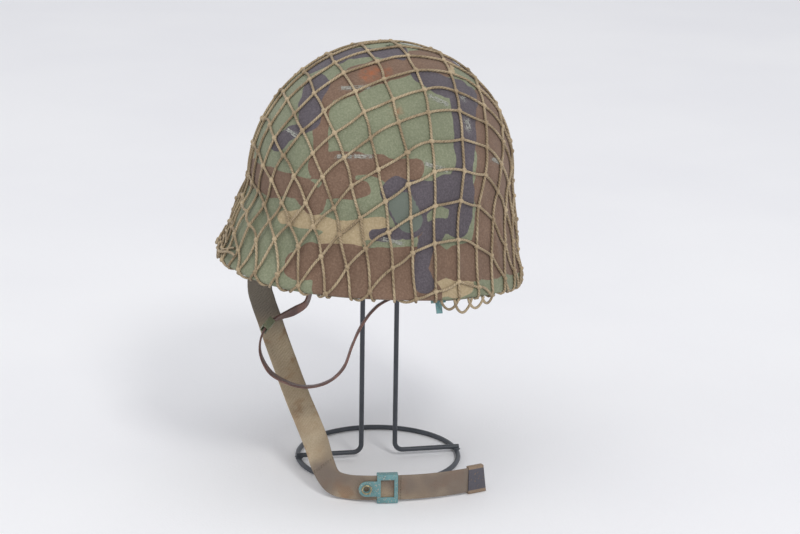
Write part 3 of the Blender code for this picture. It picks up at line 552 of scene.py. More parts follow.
SLITS = (
    (1.4, (40, 66), (56, 58)),
    (1.2, (94, 12), (102, 8)),
    (1.6, (-38, 14), (-8, 14)),
    (1.6, (37, 8), (56, 2)),
    (1.5, (-34, 72), (-10, 73)),
    (1.7, (1, -56), (17, -60)),
    (2.2, (68, 65), (70, 63)),
    (2.6, (72, 45), (74, 37)),
    (1.7, (-80, 37), (-72, 31)),
)
RUST_STAINS = ((9.0, (-12, 84), (2, 85)), (7.0, (11, 54), (13, 50)))
HIDDEN_PATCHES = 19
HIDDEN_ANGLES = (118, 302)
HIDDEN_PLACES = (0.25, 1.95)
HIDDEN_REACHES = (0.016, 0.04)
HIDDEN_HALF_WIDTHS = (0.007, 0.013)
PATCH_WOBBLE = 5.0
NOT_SEEN = -60.0
PRINT_FUZZ = 0.03


def seen_at(point):
    """Where a point on the helmet is seen from the camera's side, in millimetres."""
    away = point - CAMERA_PLACE
    depth = -away.dot(to_back)
    return Vector((
        away.dot(camera_x) / depth * SEEN_REACH + SEEN_ACROSS,
        away.dot(camera_y) / depth * SEEN_REACH + SEEN_UP,
    ))


def inside_patch(place, patch):
    """How many millimetres a point lies inside a patch, negative outside it."""
    half_width, *line = patch
    line = [Vector(point) for point in line]
    nearest = min(
        (place - (first + (second - first) * min(max(
            (place - first).dot(second - first) / (second - first).length_squared, 0), 1))).length
        for first, second in zip(line, line[1:])
    )
    return half_width - nearest


def seen_patches(patches, panel=0):
    """How far a point lies in a layer's patches on the side that the camera sees. The left panel
    is all in a layer if panel is 1, and has none of it if panel is -1."""
    def value(point, normal):
        if normal.dot(CAMERA_PLACE - point) < 0:
            return NOT_SEEN
        place = seen_at(point)
        inside = max(inside_patch(place, patch) for patch in patches)
        past_seam = place.x - LEFT_PANEL_EDGE
        if panel > 0:
            return max(inside, min(past_seam, place.y - LEFT_PANEL_HEM))
        return min(inside, -past_seam) if panel < 0 else inside
    return value


def printed_layer(patches, seed, panel=0):
    """One printed colour: its patches on the seen side, and seeded ones on the hidden side."""
    chance = random.Random(seed)
    hidden = []
    while len(hidden) < HIDDEN_PATCHES:
        turn = math.radians(chance.uniform(*HIDDEN_ANGLES))
        middle = steel_point(turn, chance.uniform(*HIDDEN_PLACES))
        along = Vector((math.cos(turn), math.sin(turn), chance.uniform(-0.9, 0.9))).normalized()
        reach, half_width = chance.uniform(*HIDDEN_REACHES), chance.uniform(*HIDDEN_HALF_WIDTHS)
        hidden.append((middle, along, reach, half_width))
    on_seen = seen_patches(patches, panel)

    def value(point, normal):
        local = on_head.inverted() @ point
        near = NOT_SEEN
        for middle, along, reach, half_width in hidden:
            away = local - middle
            run = min(max(away.dot(along), -reach), reach)
            near = max(near, (half_width - (away - along * run).length) * 1000)
        around = Vector((seed * 3.7, 0, 0)) + local * 34
        wobble = noise.fractal(around, 1.0, 2.0, 3) * PATCH_WOBBLE
        return (max(near, on_seen(point, normal)) + wobble) / 10
    return value


def share_inside(patches, blur, widened=0.0):
    """A value that rises from 0 at the edge of the seen patches to 1 inside them."""
    inside = seen_patches(patches)
    return lambda point, normal: min(max((inside(point, normal) + widened) / blur, 0), 1)


def paint_attribute(piece, name, value):
    """Store a value for each point of a piece, worked out from its place and normal."""
    layer = piece.data.attributes.new(name, "FLOAT", "POINT")
    for corner in piece.data.vertices:
        layer.data[corner.index].value = value(corner.co, corner.normal)


cloth = Finish("printed_cloth", specular=0.2, sheen=0.12)


def printed(name):
    """How much of one printed colour shows, with a soft, slightly broken edge."""
    edge = (cloth.grain(300.0, 3.0) - 0.5) * 0.1
    return (cloth.stored(name) + edge).rising(-PRINT_FUZZ, PRINT_FUZZ)


cloth_cloud = cloth.grain(24.0, 4.0)
cloth_fade = cloth.grain(620.0, 3.0, 0.7)
cloth_threads = cloth.grain(1700.0, 1.0)
worn = cloth_fade.rising(0.35, 0.75)
green = cloth.mix(worn, (0.215, 0.235, 0.15), (0.3, 0.315, 0.215))
tan = cloth.mix(worn, (0.43, 0.335, 0.2), (0.54, 0.435, 0.28))
brown = cloth.mix(worn, (0.185, 0.116, 0.08), (0.262, 0.172, 0.12))
dark = cloth.mix(worn, (0.1, 0.086, 0.098), (0.15, 0.13, 0.145))
faded_share = (cloth.stored("faded") + cloth_cloud * 0.4).rising(0.45, 0.65)
dark = cloth.mix(faded_share, dark, (0.165, 0.19, 0.158))
cloth_colour = cloth.mix(printed("tan_print"), green, tan)
cloth_colour = cloth.mix(printed("brown_print"), cloth_colour, brown)
cloth_colour = cloth.mix(printed("dark_print"), cloth_colour, dark)
rust = cloth.stored("rust_stain") * cloth.grain(120.0, 4.0).rising(0.35, 0.7)
cloth_colour = cloth.mix(rust * 0.75, cloth_colour, (0.42, 0.13, 0.05))
fray = cloth.stored("slit") * cloth.grain(900.0, 2.0).rising(0.42, 0.58)
cloth_colour = cloth.mix(fray * 0.35, cloth_colour, (0.62, 0.62, 0.57))
shading = 0.72 + cloth_cloud * 0.5
pale_shade = cloth.node("ShaderNodeCombineColor", None, (shading, shading, shading))
cloth_colour = cloth.mix(1.0, cloth_colour, pale_shade, "MULTIPLY")
cloth.surface(
    colour=cloth_colour,
    roughness=0.82 + cloth_fade * 0.12,
    height=cloth_threads + cloth_fade * 0.6 + fray * 1.2, depth=0.00035,
)

cover = dome_of_rows("cloth_cover", cover_rows, 264, cloth, CLOTH_THICK, 0)
set_on_head(cover, "cover")
paint_attribute(cover, "tan_print", printed_layer(TAN_PATCHES, 3))
paint_attribute(cover, "brown_print", printed_layer(BROWN_PATCHES, 11, 1))
paint_attribute(cover, "dark_print", printed_layer(DARK_PATCHES, 23, -1))
paint_attribute(cover, "faded", share_inside(FADED_PATCHES, 3))
paint_attribute(cover, "rust_stain", share_inside(RUST_STAINS, 6))
paint_attribute(cover, "slit", share_inside(SLITS, 1, widened=0.6))

# Each foliage slit is edged with pale thread, sewn round it in long narrow stitches.
THREAD_THICK = 0.00042
THREAD_ROWS = (-1.5, -0.5, 0.5, 1.5)
THREAD_GAP = 0.8
THREAD_WANDER = 0.12
STITCH_LENGTH = 2.4
STITCH_ENDS = 0.22


def curves_as_mesh(name, lines, thick, finish, sides=1):
    """Round threads along lists of points, made as one curve and turned into a mesh."""
    data = bpy.data.curves.new(name, "CURVE")
    data.dimensions = "3D"
    data.bevel_depth = thick / 2
    data.bevel_resolution = sides
    data.use_fill_caps = True
    for line in lines:
        spline = data.splines.new("POLY")
        spline.points.add(len(line) - 1)
        for point, place in zip(spline.points, line):
            point.co = (*place, 1)
    select_only(new_object(name, data))
    bpy.ops.object.convert(target="MESH")
    bpy.ops.object.shade_smooth()
    return name_piece(name, finish)


def on_cloth(seen):
    """The point of the cover that is seen at a place, just above the cloth."""
    ray = (
        camera_x * ((seen.x - SEEN_ACROSS) / SEEN_REACH)
        + camera_y * ((seen.y - SEEN_UP) / SEEN_REACH) - to_back
    )
    _, point, normal, _ = cover.ray_cast(CAMERA_PLACE, ray.normalized())
    return point + normal * THREAD_THICK * 0.7


pale_thread = Finish("pale_thread", specular=0.3)
thread_tone = pale_thread.grain(500.0, 2.0).rising(0.3, 0.7)
pale_thread.surface(
    colour=pale_thread.mix(thread_tone, (0.38, 0.39, 0.34), (0.68, 0.68, 0.62)),
    roughness=0.8, height=thread_tone, depth=0.0001,
)
stitches = random.Random(7)
threads = []
for _, first, last in SLITS:
    first, last = Vector(first), Vector(last)
    along = (last - first).normalized()
    across = Vector((-along.y, along.x))
    for row in THREAD_ROWS:
        steps = max(4, round((last - first).length / STITCH_LENGTH))
        line = []
        for step in range(steps + 1):
            seen = first.lerp(last, step / steps)
            wander = stitches.uniform(-THREAD_WANDER, THREAD_WANDER)
            line.append(on_cloth(seen + across * (row * THREAD_GAP + wander)))
            if stitches.random() < STITCH_ENDS and len(line) > 1:
                threads.append(line)
                line = []
        if len(line) > 1:
            threads.append(line)
slit_threads = curves_as_mesh("slit_threads", threads, THREAD_THICK, pale_thread)
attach(slit_threads, "root")

# The net is knotted from two-ply khaki string, drawn down over the cover and tucked in under the
# rim. Its columns and rows are even where it lies flat and close up towards the rim.
STRING_THICK = 0.0022
PLIES = 2
PLY_TURNS = 56.0
NET_HEADING = math.radians(50)
EQUATOR_SHARE = 0.78
FLAT_RADIUS = math.sqrt(2 * DOME_HALF_LENGTH * DOME_HALF_WIDTH) / EQUATOR_SHARE
MIDDLE_COLUMN = 0.007
LEFT_COLUMN_GAP = 0.0375
LEFT_COLUMN_CLOSING = 0.0016
RIGHT_COLUMN_GAP = 0.0286
RIGHT_COLUMN_CLOSING = 0.00082
ROW_GAP = 0.0213
ROW_SLOPE = 0.16
ROW_SAG = 0.6
FIRST_ROW = 0.1325
NET_COLUMNS = range(-11, 10)
NET_ROWS = range(-20, 6)
SEARCH_BEYOND = 2.6
EDGE_STRETCH = 1.1
BROW_BRIDGE = 0.0022
TUCKED_LENGTH = 0.011
STRING_STEP = 0.003
KNOT_WANDER = 0.0016
STRING_BOW = 0.06
STRING_STAND_OFF = SHELL_CLEARANCE + CLOTH_THICK + STRING_THICK / 2 + 0.0002
chance = random.Random(41)


def column_place(column):
    """How far a column lies from the middle of the flat net: wider apart on the helmet's left."""
    if column < 0:
        return MIDDLE_COLUMN + RIGHT_COLUMN_GAP * column + RIGHT_COLUMN_CLOSING * column ** 2
    return MIDDLE_COLUMN + LEFT_COLUMN_GAP * column - LEFT_COLUMN_CLOSING * column ** 2


def flat_knot(column, row):
    """A knot's place in the flat net."""
    across = column_place(column)
    along = FIRST_ROW - ROW_SLOPE * across - ROW_SAG * across ** 2 + ROW_GAP * row
    return Vector((across, along))


def net_bridge(angle, place):
    """How far the taut strings bridge over the hollow of the brow."""
    if place <= 1:
        return 0.0
    return BROW_BRIDGE * max(math.cos(angle), 0) * math.sin(math.pi * min(place - 1, 1)) ** 2


def on_helmet(flat, stand_off=STRING_STAND_OFF):
    """Where a point of the flat net lies on the covered helmet."""
    share = flat.length / FLAT_RADIUS
    angle = math.atan2(flat.x, flat.y) + NET_HEADING
    if share > 1:
        return over_rim_point(angle, (flat.length - FLAT_RADIUS) * EDGE_STRETCH, stand_off)
    if share <= EQUATOR_SHARE:
        place = math.asin(share / (EQUATOR_SHARE * math.sqrt(2))) * 4 / math.pi
    else:
        place = 1 + (share ** 2 - EQUATOR_SHARE ** 2) / (1 - EQUATOR_SHARE ** 2)
    lift = cloth_lift(angle, place) + net_bridge(angle, place) + max(cloth_crumple(angle, place), 0)
    return steel_point(angle, place, stand_off + lift)


string_cotton = Finish("string_cotton", specular=0.2, sheen=0.15)
string_fibre = string_cotton.grain(1400.0, 2.0)
string_cloud = string_cotton.grain(45.0, 3.0)
string_speck = string_cotton.grain(420.0, 2.0)
string_colour = string_cotton.mix(
    string_cloud.rising(0.32, 0.68), (0.32, 0.238, 0.145), (0.52, 0.412, 0.265)
)
string_colour = string_cotton.mix(
    string_speck.rising(0.55, 0.75) * 0.55, string_colour, (0.13, 0.09, 0.052)
)
string_uv = string_cotton.node("ShaderNodeUVMap", {"uv_map": "UVMap"})
string_along, string_round = string_cotton.part(string_uv, 0), string_cotton.part(string_uv, 1)
twist = (string_along * PLY_TURNS + string_round * (PLIES * math.tau)).sine()
# Painted shade: the grooves between the two plies are darkened.
string_colour = string_cotton.mix(
    (-0.1 - twist).rising(0.0, 0.9) * 0.34, string_colour, (0.11, 0.075, 0.042)
)
string_cotton.surface(
    colour=string_colour, roughness=0.9,
    height=twist * 0.55 + string_fibre * 0.5 + string_speck, depth=0.0004,
)

knots = {}
for column in NET_COLUMNS:
    for row in NET_ROWS:
        flat = flat_knot(column, row)
        if flat.length < FLAT_RADIUS + TUCKED_LENGTH * SEARCH_BEYOND:
            wander = Vector((chance.uniform(-1, 1), chance.uniform(-1, 1))) * KNOT_WANDER
            knots[column, row] = flat + wander

strings = []
for (column, row), start in knots.items():
    for neighbour in ((column, row + 1), (column + 1, row)):
        if neighbour not in knots:
            continue
        end = knots[neighbour]
        steps = max(3, round((end - start).length / STRING_STEP))
        bow = Vector((end.y - start.y, start.x - end.x)) * chance.uniform(-STRING_BOW, STRING_BOW)
        line = []
        for step in range(steps + 1):
            along = step / steps
            flat = start.lerp(end, along) + bow * math.sin(math.pi * along)
            if flat.length < FLAT_RADIUS + TUCKED_LENGTH:
                line.append(on_helmet(flat))
        if len(line) > 1:
            strings.append(line)

# Its gathered edge: strands that bunch round the brow's right corner, and slack loops that hang
# below the rim where the net isn't drawn tight. A strand's row has its first and last angle, its
# place, sway, rise off the cloth and half waves. A loop's row has its angles and its drop.
GATHERED = (
    (-74, -26, 1.9, 0.05, 0.0012, 5),
    (-70, -22, 1.95, 0.04, 0.0022, 4),
    (-78, -34, 1.84, 0.06, 0.0018, 3),
    (-72, -44, 1.93, 0.05, 0.0034, 6),
    (-68, -48, 1.87, 0.07, 0.003, 5),
    (-66, -46, 1.97, 0.03, 0.004, 3),
)
SLACK_LOOPS = (
    (54, 62, 0.008), (60, 69, 0.0115), (67, 76, 0.009), (75, 82, 0.0065), (-48, -44, 0.007)
)
LOWEST_PLACE = 1.995
LOOP_ROOT = 0.0022


def even_angles(first, last, steps):
    """Angles at even steps between two in degrees, each with its share of the way."""
    turn = (last - first) / steps
    return [(math.radians(first + turn * step), step / steps) for step in range(steps + 1)]


for first, last, place, sway, rise, half_waves in GATHERED:
    strings.append([])
    for angle, along in even_angles(first, last, 60):
        swing = min(place + sway * math.sin(along * math.pi * half_waves + first), LOWEST_PLACE)
        strings[-1].append(steel_point(angle, swing, STRING_STAND_OFF + rise))
for first, last, drop in SLACK_LOOPS:
    strings.append([])
    for angle, along in even_angles(first, last, 14):
        hang = Vector((0, 0, drop * math.sin(math.pi * along) ** 0.7))
        strings[-1].append(over_rim_point(angle, LOOP_ROOT, STRING_STAND_OFF) - hang)
net = curves_as_mesh("string_net", strings, STRING_THICK, string_cotton)

KNOT_RADIUS = 0.0021
KNOT_RISE = 0.0004
LAST_KNOT_PAST = 0.003
KNOT_LUMPS = 0.22
knot_places = [
    on_helmet(flat, STRING_STAND_OFF + KNOT_RISE)
    for flat in knots.values() if flat.length < FLAT_RADIUS + LAST_KNOT_PAST
]
select_only()
bpy.ops.mesh.primitive_ico_sphere_add(subdivisions=2, radius=KNOT_RADIUS)
bpy.ops.object.shade_smooth()
first_knot = name_piece("net_knots", string_cotton)
knot_form = bmesh.new()
shape = [corner.co.copy() for corner in first_knot.data.vertices]
shape_faces = [tuple(face.vertices) for face in first_knot.data.polygons]
for place in knot_places:
    outward = place.normalized()
    spin = Matrix.Rotation(chance.uniform(0, math.tau), 3, "Z")
    tilt = outward.to_track_quat("Z", "Y").to_matrix() @ spin
    stretch = Vector((chance.uniform(1.0, 1.3), chance.uniform(0.85, 1.05), 0.8))
    corners = []
    for co in shape:
        lump = 1 + KNOT_LUMPS * noise.noise(co * 900 + place * 300)
        corners.append(knot_form.verts.new(place + tilt @ (co * stretch * lump)))
    for face in shape_faces:
        knot_form.faces.new([corners[k] for k in face]).smooth = True
knot_form.to_mesh(first_knot.data)
knot_form.free()
select_only(first_knot, net)
bpy.ops.object.join()
set_on_head(net, "net")

# The bails are bent wire loops inside the rim, each held by a folded steel lug that is welded to
# the wall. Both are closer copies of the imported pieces, with rounded edges and worn paint.
BAIL_HEIGHT = 0.013
BAIL_WIDTH = 0.03
BAIL_WIRE = 0.0026
LUG_WALL = 0.001
CLEARANCE = 0.0003
LYING_MIDDLE = 0.0125
FOLDED_EDGE = (0.0088, 0.0094)


def worn_paint(name, paint, metal, wear=0.62, roughness=0.42, edge_colour=None):
    """Chipped paint over metal. A piece that lies on edge can have its edges in a second colour."""
    finish = Finish(name)
    chips = finish.grain(640.0, 5.0, 0.65).rising(wear, wear + 0.05)
    cloud = finish.grain(90.0, 3.0)
    colour = finish.mix(cloud.rising(0.3, 0.7), tuple(v * 0.78 for v in paint), paint)
    if edge_colour:
        from_middle = (finish.part(finish.at, 2) - LYING_MIDDLE).size()
        colour = finish.mix(from_middle.rising(*FOLDED_EDGE), colour, edge_colour)
    finish.surface(
        colour=finish.mix(chips, colour, metal),
        roughness=roughness + cloud * 0.2 - chips * 0.12,
        metallic=chips * 0.9,
        height=finish.grain(900.0, 3.0) - chips * 0.8, depth=0.00018,
    )
    return finish


def closer_copy(node, name, finish, rounding=0.0003, steps=2):
    """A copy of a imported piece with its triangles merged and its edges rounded."""
    select_only(new_object(name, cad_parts[node].data.copy()))
    piece = name_piece(name, finish)
    bpy.ops.mesh.customdata_custom_splitnormals_clear()
    bpy.ops.object.mode_set(mode="EDIT")
    bpy.ops.mesh.select_all(action="SELECT")
    bpy.ops.mesh.remove_doubles(threshold=0.00001)
    bpy.ops.mesh.dissolve_limited(angle_limit=math.radians(1.5))
    bpy.ops.object.mode_set(mode="OBJECT")
    edges = piece.modifiers.new("edges", "BEVEL")
    edges.width = rounding
    edges.segments = steps
    edges.limit_method = "ANGLE"
    edges.angle_limit = math.radians(40)
    bpy.ops.object.modifier_apply(modifier="edges")
    bpy.ops.object.shade_smooth_by_angle(angle=math.radians(35))
    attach(piece, "root")
    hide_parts(node)


bail_paint = worn_paint("bail_paint", (0.09, 0.1, 0.065), (0.3, 0.28, 0.24))
for side in ("right", "left"):
    closer_copy("bail_" + side, "wire_bail_" + side, bail_paint, 0.0001, 1)
    closer_copy("bail_lug_" + side, "folded_lug_" + side, gritty_paint, 0.0002)

# The web chin strap is woven cotton, folded round the bail and sewn, and hangs to the floor, where
# it lies on its edge. It is stained, a little furry, and stitched where its loose end is turned. Near
# the rim it is darkened by painted shade and a stain.
WEB_WIDTH = 0.021
WEB_THICK = 0.002
STRAP_STEP = 0.0025
MILLIMETRE = 0.001
CRINKLES_ALONG = Vector((124, 68, 96))
CRINKLES_ACROSS = 64
# Each row has a point from the stand's axis in millimetres, then the direction of the width.
WEB_ROUTE = (
    (-117, -4, 136, 0.87, 0.5, 0.0),
    (-113, -5, 121, 0.87, 0.5, 0.0),
    (-105, -7, 106, 0.87, 0.5, 0.05),
    (-94, -13, 91, 0.86, 0.48, 0.1),
    (-82, -20, 77, 0.86, 0.48, 0.12),
    (-68, -30, 64, 0.86, 0.48, 0.15),
    (-52, -43, 53, 0.85, 0.48, 0.2),
    (-34, -58, 43, 0.85, 0.45, 0.25),
    (-15, -75, 33, 0.8, 0.42, 0.4),
    (1, -90, 22, 0.68, 0.35, 0.6),
    (16, -99.5, 14, 0.38, 0.2, 0.9),
    (30, -99, 12, 0.08, 0.02, 1.0),
    (46, -94, 12.6, 0.0, 0.0, 1.0),
    (62, -84, 12.8, 0.0, 0.0, 1.0),
    (78, -70, 12.5, 0.0, 0.0, 1.0),
    (91, -55, 12.1, 0.0, 0.0, 1.0),
    (102, -40, 12.1, 0.0, 0.0, 1.0),
    (111, -25, 12.1, 0.0, 0.0, 1.0),
)


def curve_through(route, step):
    """Points at equal steps on a smooth curve through a route, each with its width direction."""
    rows = [tuple(row) for row in route]
    first = tuple(2 * a - b for a, b in zip(rows[0], rows[1]))
    last = tuple(2 * a - b for a, b in zip(rows[-1], rows[-2]))
    rows = [first] + rows + [last]
    fine = []
    for k in range(1, len(rows) - 2):
        for part in range(12):
            t = part / 12
            fine.append([
                (2 * b + (c - a) * t + (2 * a - 5 * b + 4 * c - d) * t ** 2
                 + (3 * b - a - 3 * c + d) * t ** 3) / 2
                for a, b, c, d in zip(rows[k - 1], rows[k], rows[k + 1], rows[k + 2])
            ])
    fine.append(list(rows[-2]))
    lengths = [0.0]
    for before, after in zip(fine, fine[1:]):
        lengths.append(lengths[-1] + (Vector(after[:3]) - Vector(before[:3])).length)
    count = round(lengths[-1] / step)
    stations = []
    row = 0
    for k in range(count + 1):
        at = lengths[-1] * k / count
        while row < len(fine) - 2 and lengths[row + 1] <= at:
            row += 1
        along = (at - lengths[row]) / (lengths[row + 1] - lengths[row])
        values = [a + (b - a) * along for a, b in zip(fine[row], fine[row + 1])]
        stations.append((Vector(values[:3]), Vector(values[3:])))
    return stations


def strap_frames(stations):
    """Point, width direction and face normal at each station of a strap."""
    frames = []
    for k, (point, width) in enumerate(stations):
        ahead = stations[min(k + 1, len(stations) - 1)][0] - stations[max(k - 1, 0)][0]
        ahead.normalize()
        side = (width - ahead * width.dot(ahead)).normalized()
        frames.append((point, side, ahead.cross(side)))
    return frames


def strap_outline(width, thick):
    """The strap's section: flat faces between rounded selvedges."""
    corner = thick * 0.42
    outline = []
    for x_sign, y_sign, start in ((1, 1, 0), (-1, 1, 90), (-1, -1, 180), (1, -1, 270)):
        for turn in (0, 30, 60, 90):
            at = math.radians(start + turn)
            outline.append((
                x_sign * (width / 2 - corner) + corner * math.cos(at),
                y_sign * (thick / 2 - corner) + corner * math.sin(at),
            ))
        if start in (0, 180):
            left = outline[-1]
            for step in range(1, 6):
                outline.append((left[0] * (1 - step / 3), left[1]))
    return outline


def woven_strap(name, frames, width, thick, finish, crinkle=0.0):
    """A strap: a grid is bent into a tube through its stations, closed and capped."""
    outline = strap_outline(width, thick)
    around, along = len(outline), len(frames) - 1
    select_only()
    bpy.ops.mesh.primitive_grid_add(x_subdivisions=around, y_subdivisions=along, size=1)
    strap = name_piece(name, finish)
    for corner in strap.data.vertices:
        x, y = outline[round((corner.co.x + 0.5) * around) % around]
        point, side, face = frames[round((corner.co.y + 0.5) * along)]
        at = Vector((point.dot(CRINKLES_ALONG), x * CRINKLES_ACROSS, 0))
        wave = noise.noise(at) * crinkle
        corner.co = point + side * (x + wave * 0.5) + face * (y + wave)
    walk = [0.0]
    for before, after in zip(outline, outline[1:] + outline[:1]):
        walk.append(walk[-1] + math.dist(before, after))
    run = [0.0]
    for before, after in zip(frames, frames[1:]):
        run.append(run[-1] + (after[0] - before[0]).length)
    for loop in strap.data.uv_layers.active.data:
        loop.uv = (walk[round(loop.uv.x * around)], run[round(loop.uv.y * along)])
    bpy.ops.object.mode_set(mode="EDIT")
    bpy.ops.mesh.select_all(action="SELECT")
    bpy.ops.mesh.remove_doubles(threshold=0.00001)
    bpy.ops.mesh.fill_holes(sides=0)
    bpy.ops.mesh.select_all(action="SELECT")
    bpy.ops.mesh.normals_make_consistent(inside=False)
    bpy.ops.object.mode_set(mode="OBJECT")
    bpy.ops.object.shade_smooth_by_angle(angle=math.radians(50))
    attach(strap, "root")
    return strap


def bail_hinge(side):
    """Middle of a bail's upper bar, and the outward direction of the wall there."""
    angle = side * math.pi / 2
    place = 2 - BAIL_HEIGHT / rim_drop(angle)
    _, normal, _ = meridian_frame(steel_profile, angle, place)
    inset = STEEL_THICK + CLEARANCE + LUG_WALL + CLEARANCE + BAIL_WIRE
    return steel_point(angle, place, -inset), turned(angle, normal)


def webbing_finish(name, stitch_rows=()):
    """Khaki webbing: twilled yarns, dusty and stained, painted shade near the rim, and rows of
    stitches across it.
    """
    finish = Finish(name, specular=0.15, sheen=0.15)
    uv = finish.node("ShaderNodeUVMap", {"uv_map": "UVMap"})
    across, along = finish.part(uv, 0), finish.part(uv, 1)
    twill = (along * 4200.0 + across * 3300.0).sine()
    ribs = (across * 5200.0).sine()
    fibre = finish.grain(1300.0, 3.0)
    soil = finish.grain(32.0, 4.0).rising(0.35, 0.68)
    dusk = finish.grain(11.0, 2.0).rising(0.45, 0.6)
    colour = finish.mix(fibre.rising(0.3, 0.7), (0.5, 0.395, 0.26), (0.66, 0.55, 0.39))
    colour = finish.mix(soil * 0.55, colour, (0.4, 0.275, 0.165))
    colour = finish.mix(dusk * 0.5, colour, (0.19, 0.16, 0.13))
    rust = finish.grain(62.0, 3.0).rising(0.55, 0.68)
    colour = finish.mix(rust * 0.55, colour, (0.33, 0.175, 0.085))
    height_up = finish.part(finish.at, 2)
    # Painted shade with a dark stain: the webbing darkens towards the rim, where the rim shades it.
    rim_shadow_and_stain = height_up.rising(0.088, 0.118)
    colour = finish.mix(rim_shadow_and_stain * 0.75, colour, (0.125, 0.118, 0.108))
    grime = (0.032 - height_up).rising(0.0, 0.012) * finish.grain(24.0).rising(0.35, 0.6)
    colour = finish.mix(grime * 0.8, colour, (0.195, 0.155, 0.13))
    height = twill * 0.25 + ribs * 0.2 + fibre * 0.8
    for row in stitch_rows:
        near = (0.0004 - (along - row).size()).rising(0.0, 0.0003)
        dashes = (across * 2600.0).sine().rising(-0.2, 0.2)
        colour = finish.mix(near * dashes * 0.8, colour, (0.15, 0.115, 0.07))
        height = height + near * dashes * 1.5
    finish.surface(colour=colour, roughness=0.92, height=height, depth=0.00035)
    return finish


web_bar, web_outward = bail_hinge(-1)
web_bar = web_bar - Vector((0, 0, BAIL_HEIGHT))
web_forward = Vector((web_outward.x, 0, 0)).normalized()
wrap_radius = BAIL_WIRE / 2 + CLEARANCE + WEB_THICK / 2
wrap = [web_bar + web_forward * (wrap_radius - WEB_THICK - CLEARANCE) - Vector((0, 0, WEB_WIDTH))]
for at, _ in even_angles(0, 180, 12):
    round_bar = Vector((0, 0, math.sin(at))) - web_forward * math.cos(at)
    wrap.append(web_bar + round_bar * wrap_radius)
wrap = [on_head @ point for point in wrap]
to_side = Vector((0, 1, 0))
web_rows = [tuple(wrap[-1]) + tuple(to_side)]
for x, y, z, *width in WEB_ROUTE:
    place = on_stand @ (Vector((x, y, z)) * MILLIMETRE)
    web_rows.append(tuple(place) + tuple(width))
web_stations = [(point, to_side) for point in wrap[:-1]] + curve_through(web_rows, STRAP_STEP)
khaki_web = webbing_finish("khaki_web", (0.268, 0.2695, 0.345))
web_strap = woven_strap(
    "web_strap", strap_frames(web_stations), WEB_WIDTH, WEB_THICK, khaki_web, 0.0005
)
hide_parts("web_strap_right")

# On the strap sit its stamped slider frame, painted blue-green, with a brass-coloured ring on its
# round tab, and the folded metal tip that keeps its end from fraying.
teal_enamel = worn_paint("teal_enamel", (0.16, 0.325, 0.335), (0.5, 0.5, 0.44), 0.57, 0.34)
brass = worn_paint("dull_brass", (0.33, 0.265, 0.145), (0.64, 0.54, 0.32), 0.5, 0.38)
tip_paint = worn_paint(
    "tip_paint", (0.095, 0.09, 0.108), (0.26, 0.19, 0.13), 0.6, 0.45, (0.28, 0.2, 0.135)
)
closer_copy("slider_buckle", "slider_frame", teal_enamel, 0.00035)
closer_copy("slider_ring", "brass_ring", brass, 0.0001, 1)
closer_copy("strap_tip", "folded_tip", tip_paint, 0.0004)

# The other web strap is folded forward inside the rim, out of sight, and only the painted end of
# its hook shows under the rim.
LEFT_STRAP_FRONT = math.radians(55)
HOOK_LENGTH = 0.012
HOOK_WALL = 0.0009
HOOK_DROP = 0.003
SHELL_SEGMENTS = 40
facet_dip = HOOK_LENGTH / 2 * math.tan(math.pi / SHELL_SEGMENTS)
left_hem = STEEL_THICK + 2 * SHELL_CLEARANCE + CLOTH_THICK
left_inset = left_hem + facet_dip + HOOK_WALL + CLEARANCE + WEB_THICK / 2
left_bar, _ = bail_hinge(1)
left_rear = math.acos((BAIL_WIDTH / 2 + BAIL_WIRE / 2 + CLEARANCE) / left_bar.x)
left_stations = []
for step in range(25):
    angle = left_rear + (LEFT_STRAP_FRONT - left_rear) * step / 24
    place = 2 - (WEB_WIDTH / 2 - HOOK_DROP) / rim_drop(angle)
    _, _, down = meridian_frame(steel_profile, angle, place)
    width = on_head.to_3x3() @ turned(angle, -down)
    left_stations.append((on_head @ steel_point(angle, place, -left_inset), width))
left_strap = woven_strap(
    "folded_web_strap", strap_frames(left_stations), WEB_WIDTH, WEB_THICK,
    webbing_finish("khaki_web_left")
)
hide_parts("web_strap_left")
closer_copy("strap_hook_left", "strap_hook", teal_enamel, 0.00025)

# The liner's own chin strap is a narrow brown leather strap, riveted to it at both ends, with a
# small green painted buckle. It hangs in a loose loop and is cracked and polished with age.
LEATHER_WIDTH = 0.012
LEATHER_THICK = 0.0017
STUD_PLACE = 1.78
STRAP_END = 0.006
STRAP_STAND_OFF = 0.0014
# Each row has a point, as a share of the studs' reach, millimetres back and millimetres above the
# equator, then the direction of the width.
LEATHER_ROUTE = (
    (0.935, -5, -73, 0.05, -1.0, 0.0),
    (0.884, -17, -77, 0.1, -1.0, 0.0),
    (0.773, -28, -80, 0.3, -0.95, 0.0),
    (0.61, -37, -83, 0.45, -0.88, 0.1),
    (0.437, -46, -87, 0.5, -0.86, 0.2),
    (0.295, -54, -96, 0.5, -0.84, 0.2),
    (0.203, -62, -111, 0.5, -0.84, 0.1),
    (0.142, -67, -128, 0.5, -0.86, 0.1),
    (0.081, -70, -147, 0.5, -0.86, 0.1),
    (-0.051, -72, -161, 0.48, -0.86, 0.2),
    (-0.243, -73, -169, 0.45, -0.86, 0.2),
    (-0.448, -72, -170, 0.45, -0.86, 0.2),
    (-0.651, -69, -165, 0.48, -0.86, 0.1),
    (-0.783, -64, -153, 0.5, -0.84, 0.1),
    (-0.823, -57, -140, 0.5, -0.82, 0.2),
    (-0.802, -47, -130, 0.47, -0.78, 0.36),
    (-0.742, -37, -126, 0.38, -0.68, 0.58),
    (-0.681, -27, -123, 0.25, -0.6, 0.75),
    (-0.63, -17, -118, 0.25, -0.8, 0.5),
    (-0.651, -9, -106, 0.2, -0.95, 0.2),
    (-0.762, -3, -90, 0.1, -1.0, 0.0),
    (-0.884, -1, -75, 0.05, -1.0, 0.0),
    (-0.945, 0, -65, 0.0, -1.0, 0.0),
)


